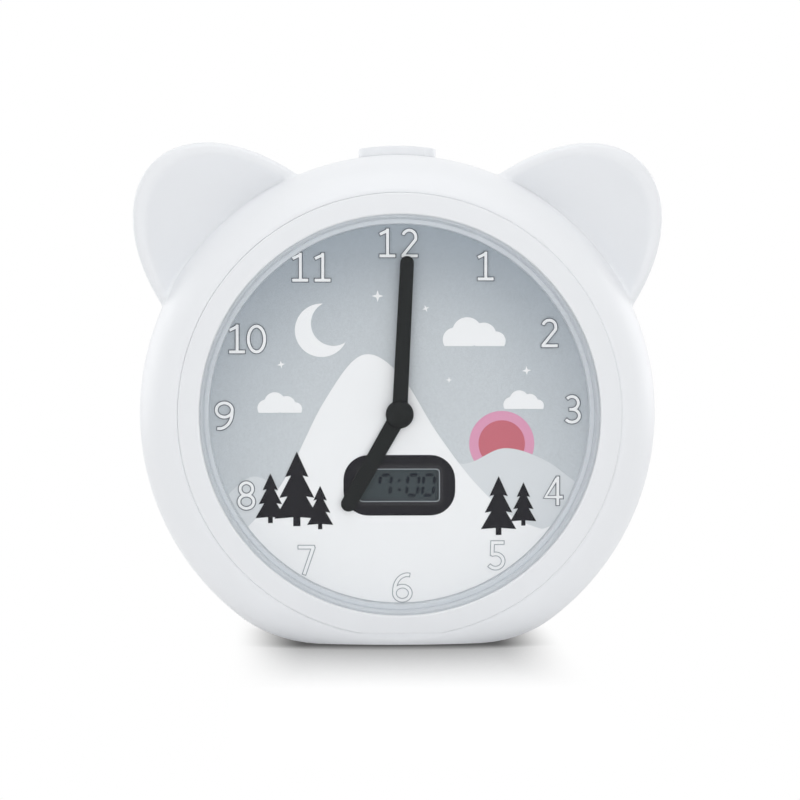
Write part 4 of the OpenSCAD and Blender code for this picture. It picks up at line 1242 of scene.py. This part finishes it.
class CLOCK_OT_stage(bpy.types.Operator):
    """Lays the white floor, hangs the soft lamps and sets the camera"""

    bl_idname = "clock.stage"
    bl_label = "Stage"

    def execute(self, context):
        scene = context.scene
        scene.view_settings.view_transform = "Standard"
        floor = fresh(bpy.ops.mesh.primitive_plane_add, "floor", size=12)
        # White paper. Far off, and in reflections, it is plain white; near the clock it shows the light
        # that falls on it and the clock's real shadow, and where it is seen it is darkened further by a
        # painted soft shadow and a painted dark contact line
        made, tree, place = blank("paper sweep, white")
        direct = straight(tree)
        tooth = node(tree, "TexNoise", {"Vector": place, "Scale": per(2.0), "Detail": 3.0})
        # Painted shade: ambient occlusion darkens the floor's own colour into a soft shadow and a dark
        # contact line under the clock
        near = node(tree, "AmbientOcclusion", {"Distance": PAINTED_SHADOW_REACH}, samples=24)
        painted_line_mask = node(tree, "AmbientOcclusion", {"Distance": PAINTED_LINE_REACH}, samples=24)
        painted_shadow = node(tree, "Math", {0: near.outputs["AO"], 1: 1.7}, operation="POWER")
        line = node(tree, "Math", {0: painted_line_mask.outputs["AO"], 1: 1.6}, operation="POWER")
        painted_contact_shade = node(tree, "Math", {0: painted_shadow, 1: line}, operation="MULTIPLY")
        white = node(tree, "Mix", {
            0: tooth, 6: (0.98, 0.98, 0.98, 1), 7: (1, 1, 1, 1),
        }, data_type="RGBA")
        white_with_painted_shade = node(tree, "VectorMath", {0: white.outputs[2], 1: painted_contact_shade}, operation="MULTIPLY")
        tint = node(tree, "Mix", {0: direct, 6: (0.95, 0.95, 0.95, 1), 7: white_with_painted_shade}, data_type="RGBA")
        paper = node(tree, "BsdfDiffuse", {"Color": tint.outputs[2]})
        lift = node(tree, "Math", {0: direct, 1: 0.1}, operation="MULTIPLY")
        glow = node(tree, "Emission", {"Color": (1, 1, 1, 1), "Strength": lift})
        lit = node(tree, "AddShader", {0: paper, 1: glow})
        plain = node(tree, "Emission", {"Color": (1, 1, 1, 1), "Strength": 1.0})
        away = node(tree, "VectorMath", {0: place}, operation="LENGTH")
        far = node(tree, "MapRange", {
            "Value": away.outputs["Value"], "From Min": ROUND_FADE[0], "From Max": ROUND_FADE[1],
        }, interpolation_type="SMOOTHSTEP")
        split = node(tree, "SeparateXYZ", {0: place})
        aside = node(tree, "Math", {0: split.outputs["X"]}, operation="ABSOLUTE")
        wide = node(tree, "MapRange", {
            "Value": aside, "From Min": SIDE_FADE[0], "From Max": SIDE_FADE[1],
        }, interpolation_type="SMOOTHSTEP")
        open_floor = node(tree, "Math", {0: far, 1: wide}, operation="MAXIMUM")
        share = node(tree, "Math", {0: direct, 1: open_floor}, operation="MULTIPLY")
        both = node(tree, "MixShader", {0: share, 1: lit, 2: plain})
        node(tree, "OutputMaterial", {0: both})
        floor.data.materials.append(made)

        world = bpy.data.worlds.new("white room")
        scene.world = world
        world.use_nodes = True
        tree = world.node_tree
        tree.nodes.clear()
        strength = node(tree, "MapRange", {"Value": straight(tree), "To Min": 0.46, "To Max": 1.0})
        sky = node(tree, "Background", {"Color": (1, 1, 1, 1), "Strength": strength})
        node(tree, "OutputWorld", {0: sky})

        lamp("top softbox", (0, -0.25, 1.3), (1.4, 1.1), 7.2)
        lamp("rear top softbox", (0, 0.75, 1.0), (1.6, 0.8), 1.2)
        # These two light the clock, but the lens doesn't mirror them
        lamp("front softbox", (0, -1.6, 0.35), (1.6, 0.5), 3.4, False)
        lamp("low front strip", (0, -1.3, 0.05), (1.8, 0.08), 1.5, False)
        for side, name in ((-1, "left"), (1, "right")):
            lamp(name + " rear softbox", (side, 0.7, 0.3), (0.8, 1.0), 3.6)
            lamp(name + " low strip", (1.1 * side, -0.6, 0.12), (0.8, 0.2), 1.0)

        turn, rise, away, up, left = radians(-2.0), radians(1.9), 1.1, 4.9, 0.15
        ring_front = Vector((0, (MIDDLE - RING_FRONT) * MM, DIAL_HEIGHT * MM))
        back = Vector((sin(turn) * cos(rise), -cos(turn) * cos(rise), sin(rise)))
        camera = fresh(bpy.ops.object.camera_add, "camera", location=(0, 0, 0))
        camera.rotation_euler = (-back).to_track_quat("-Z", "Y").to_euler()
        context.view_layer.update()
        facing = camera.matrix_world.to_3x3()
        across, upward = facing @ Vector((1, 0, 0)), facing @ Vector((0, 1, 0))
        camera.location = ring_front + back * away + upward * up * MM - across * left * MM
        camera.data.sensor_width = 36
        camera.data.lens = 155.3
        camera.data.clip_end = 20
        scene.camera = camera
        return {"FINISHED"}


OPERATORS = (
    CLOCK_OT_finishes,
    CLOCK_OT_shells,
    CLOCK_OT_front_ring,
    CLOCK_OT_dial_ring,
    CLOCK_OT_push_button,
    CLOCK_OT_feet,
    CLOCK_OT_dial,
    CLOCK_OT_numerals,
    CLOCK_OT_display,
    CLOCK_OT_hands,
    CLOCK_OT_back_controls,
    CLOCK_OT_battery_door,
    CLOCK_OT_stage,
)


class CLOCK_PT_panel(bpy.types.Panel):
    """Lists the clock's pieces in the sidebar"""

    bl_idname = "CLOCK_PT_panel"
    bl_label = "Alarm clock"
    bl_space_type = "VIEW_3D"
    bl_region_type = "UI"
    bl_category = "Clock"

    def draw(self, context):
        layout = self.layout
        for group in (context.scene.clock_sizes, context.scene.clock_colours):
            box = layout.box()
            for name in group.bl_rna.properties.keys():
                if name not in ("rna_type", "name"):
                    box.prop(group, name)
        for operator in OPERATORS:
            layout.operator(operator.bl_idname)


CLASSES = (ClockColours, ClockSizes) + OPERATORS + (CLOCK_PT_panel,)


def register():
    for cls in CLASSES:
        bpy.utils.register_class(cls)
    bpy.types.Scene.clock_colours = PointerProperty(type=ClockColours)
    bpy.types.Scene.clock_sizes = PointerProperty(type=ClockSizes)


def unregister():
    del bpy.types.Scene.clock_sizes
    del bpy.types.Scene.clock_colours
    for cls in reversed(CLASSES):
        bpy.utils.unregister_class(cls)


def main():
    register()
    for operator in OPERATORS:
        family, name = operator.bl_idname.split(".")
        getattr(getattr(bpy.ops, family), name)()


if __name__ == "__main__":
    main()
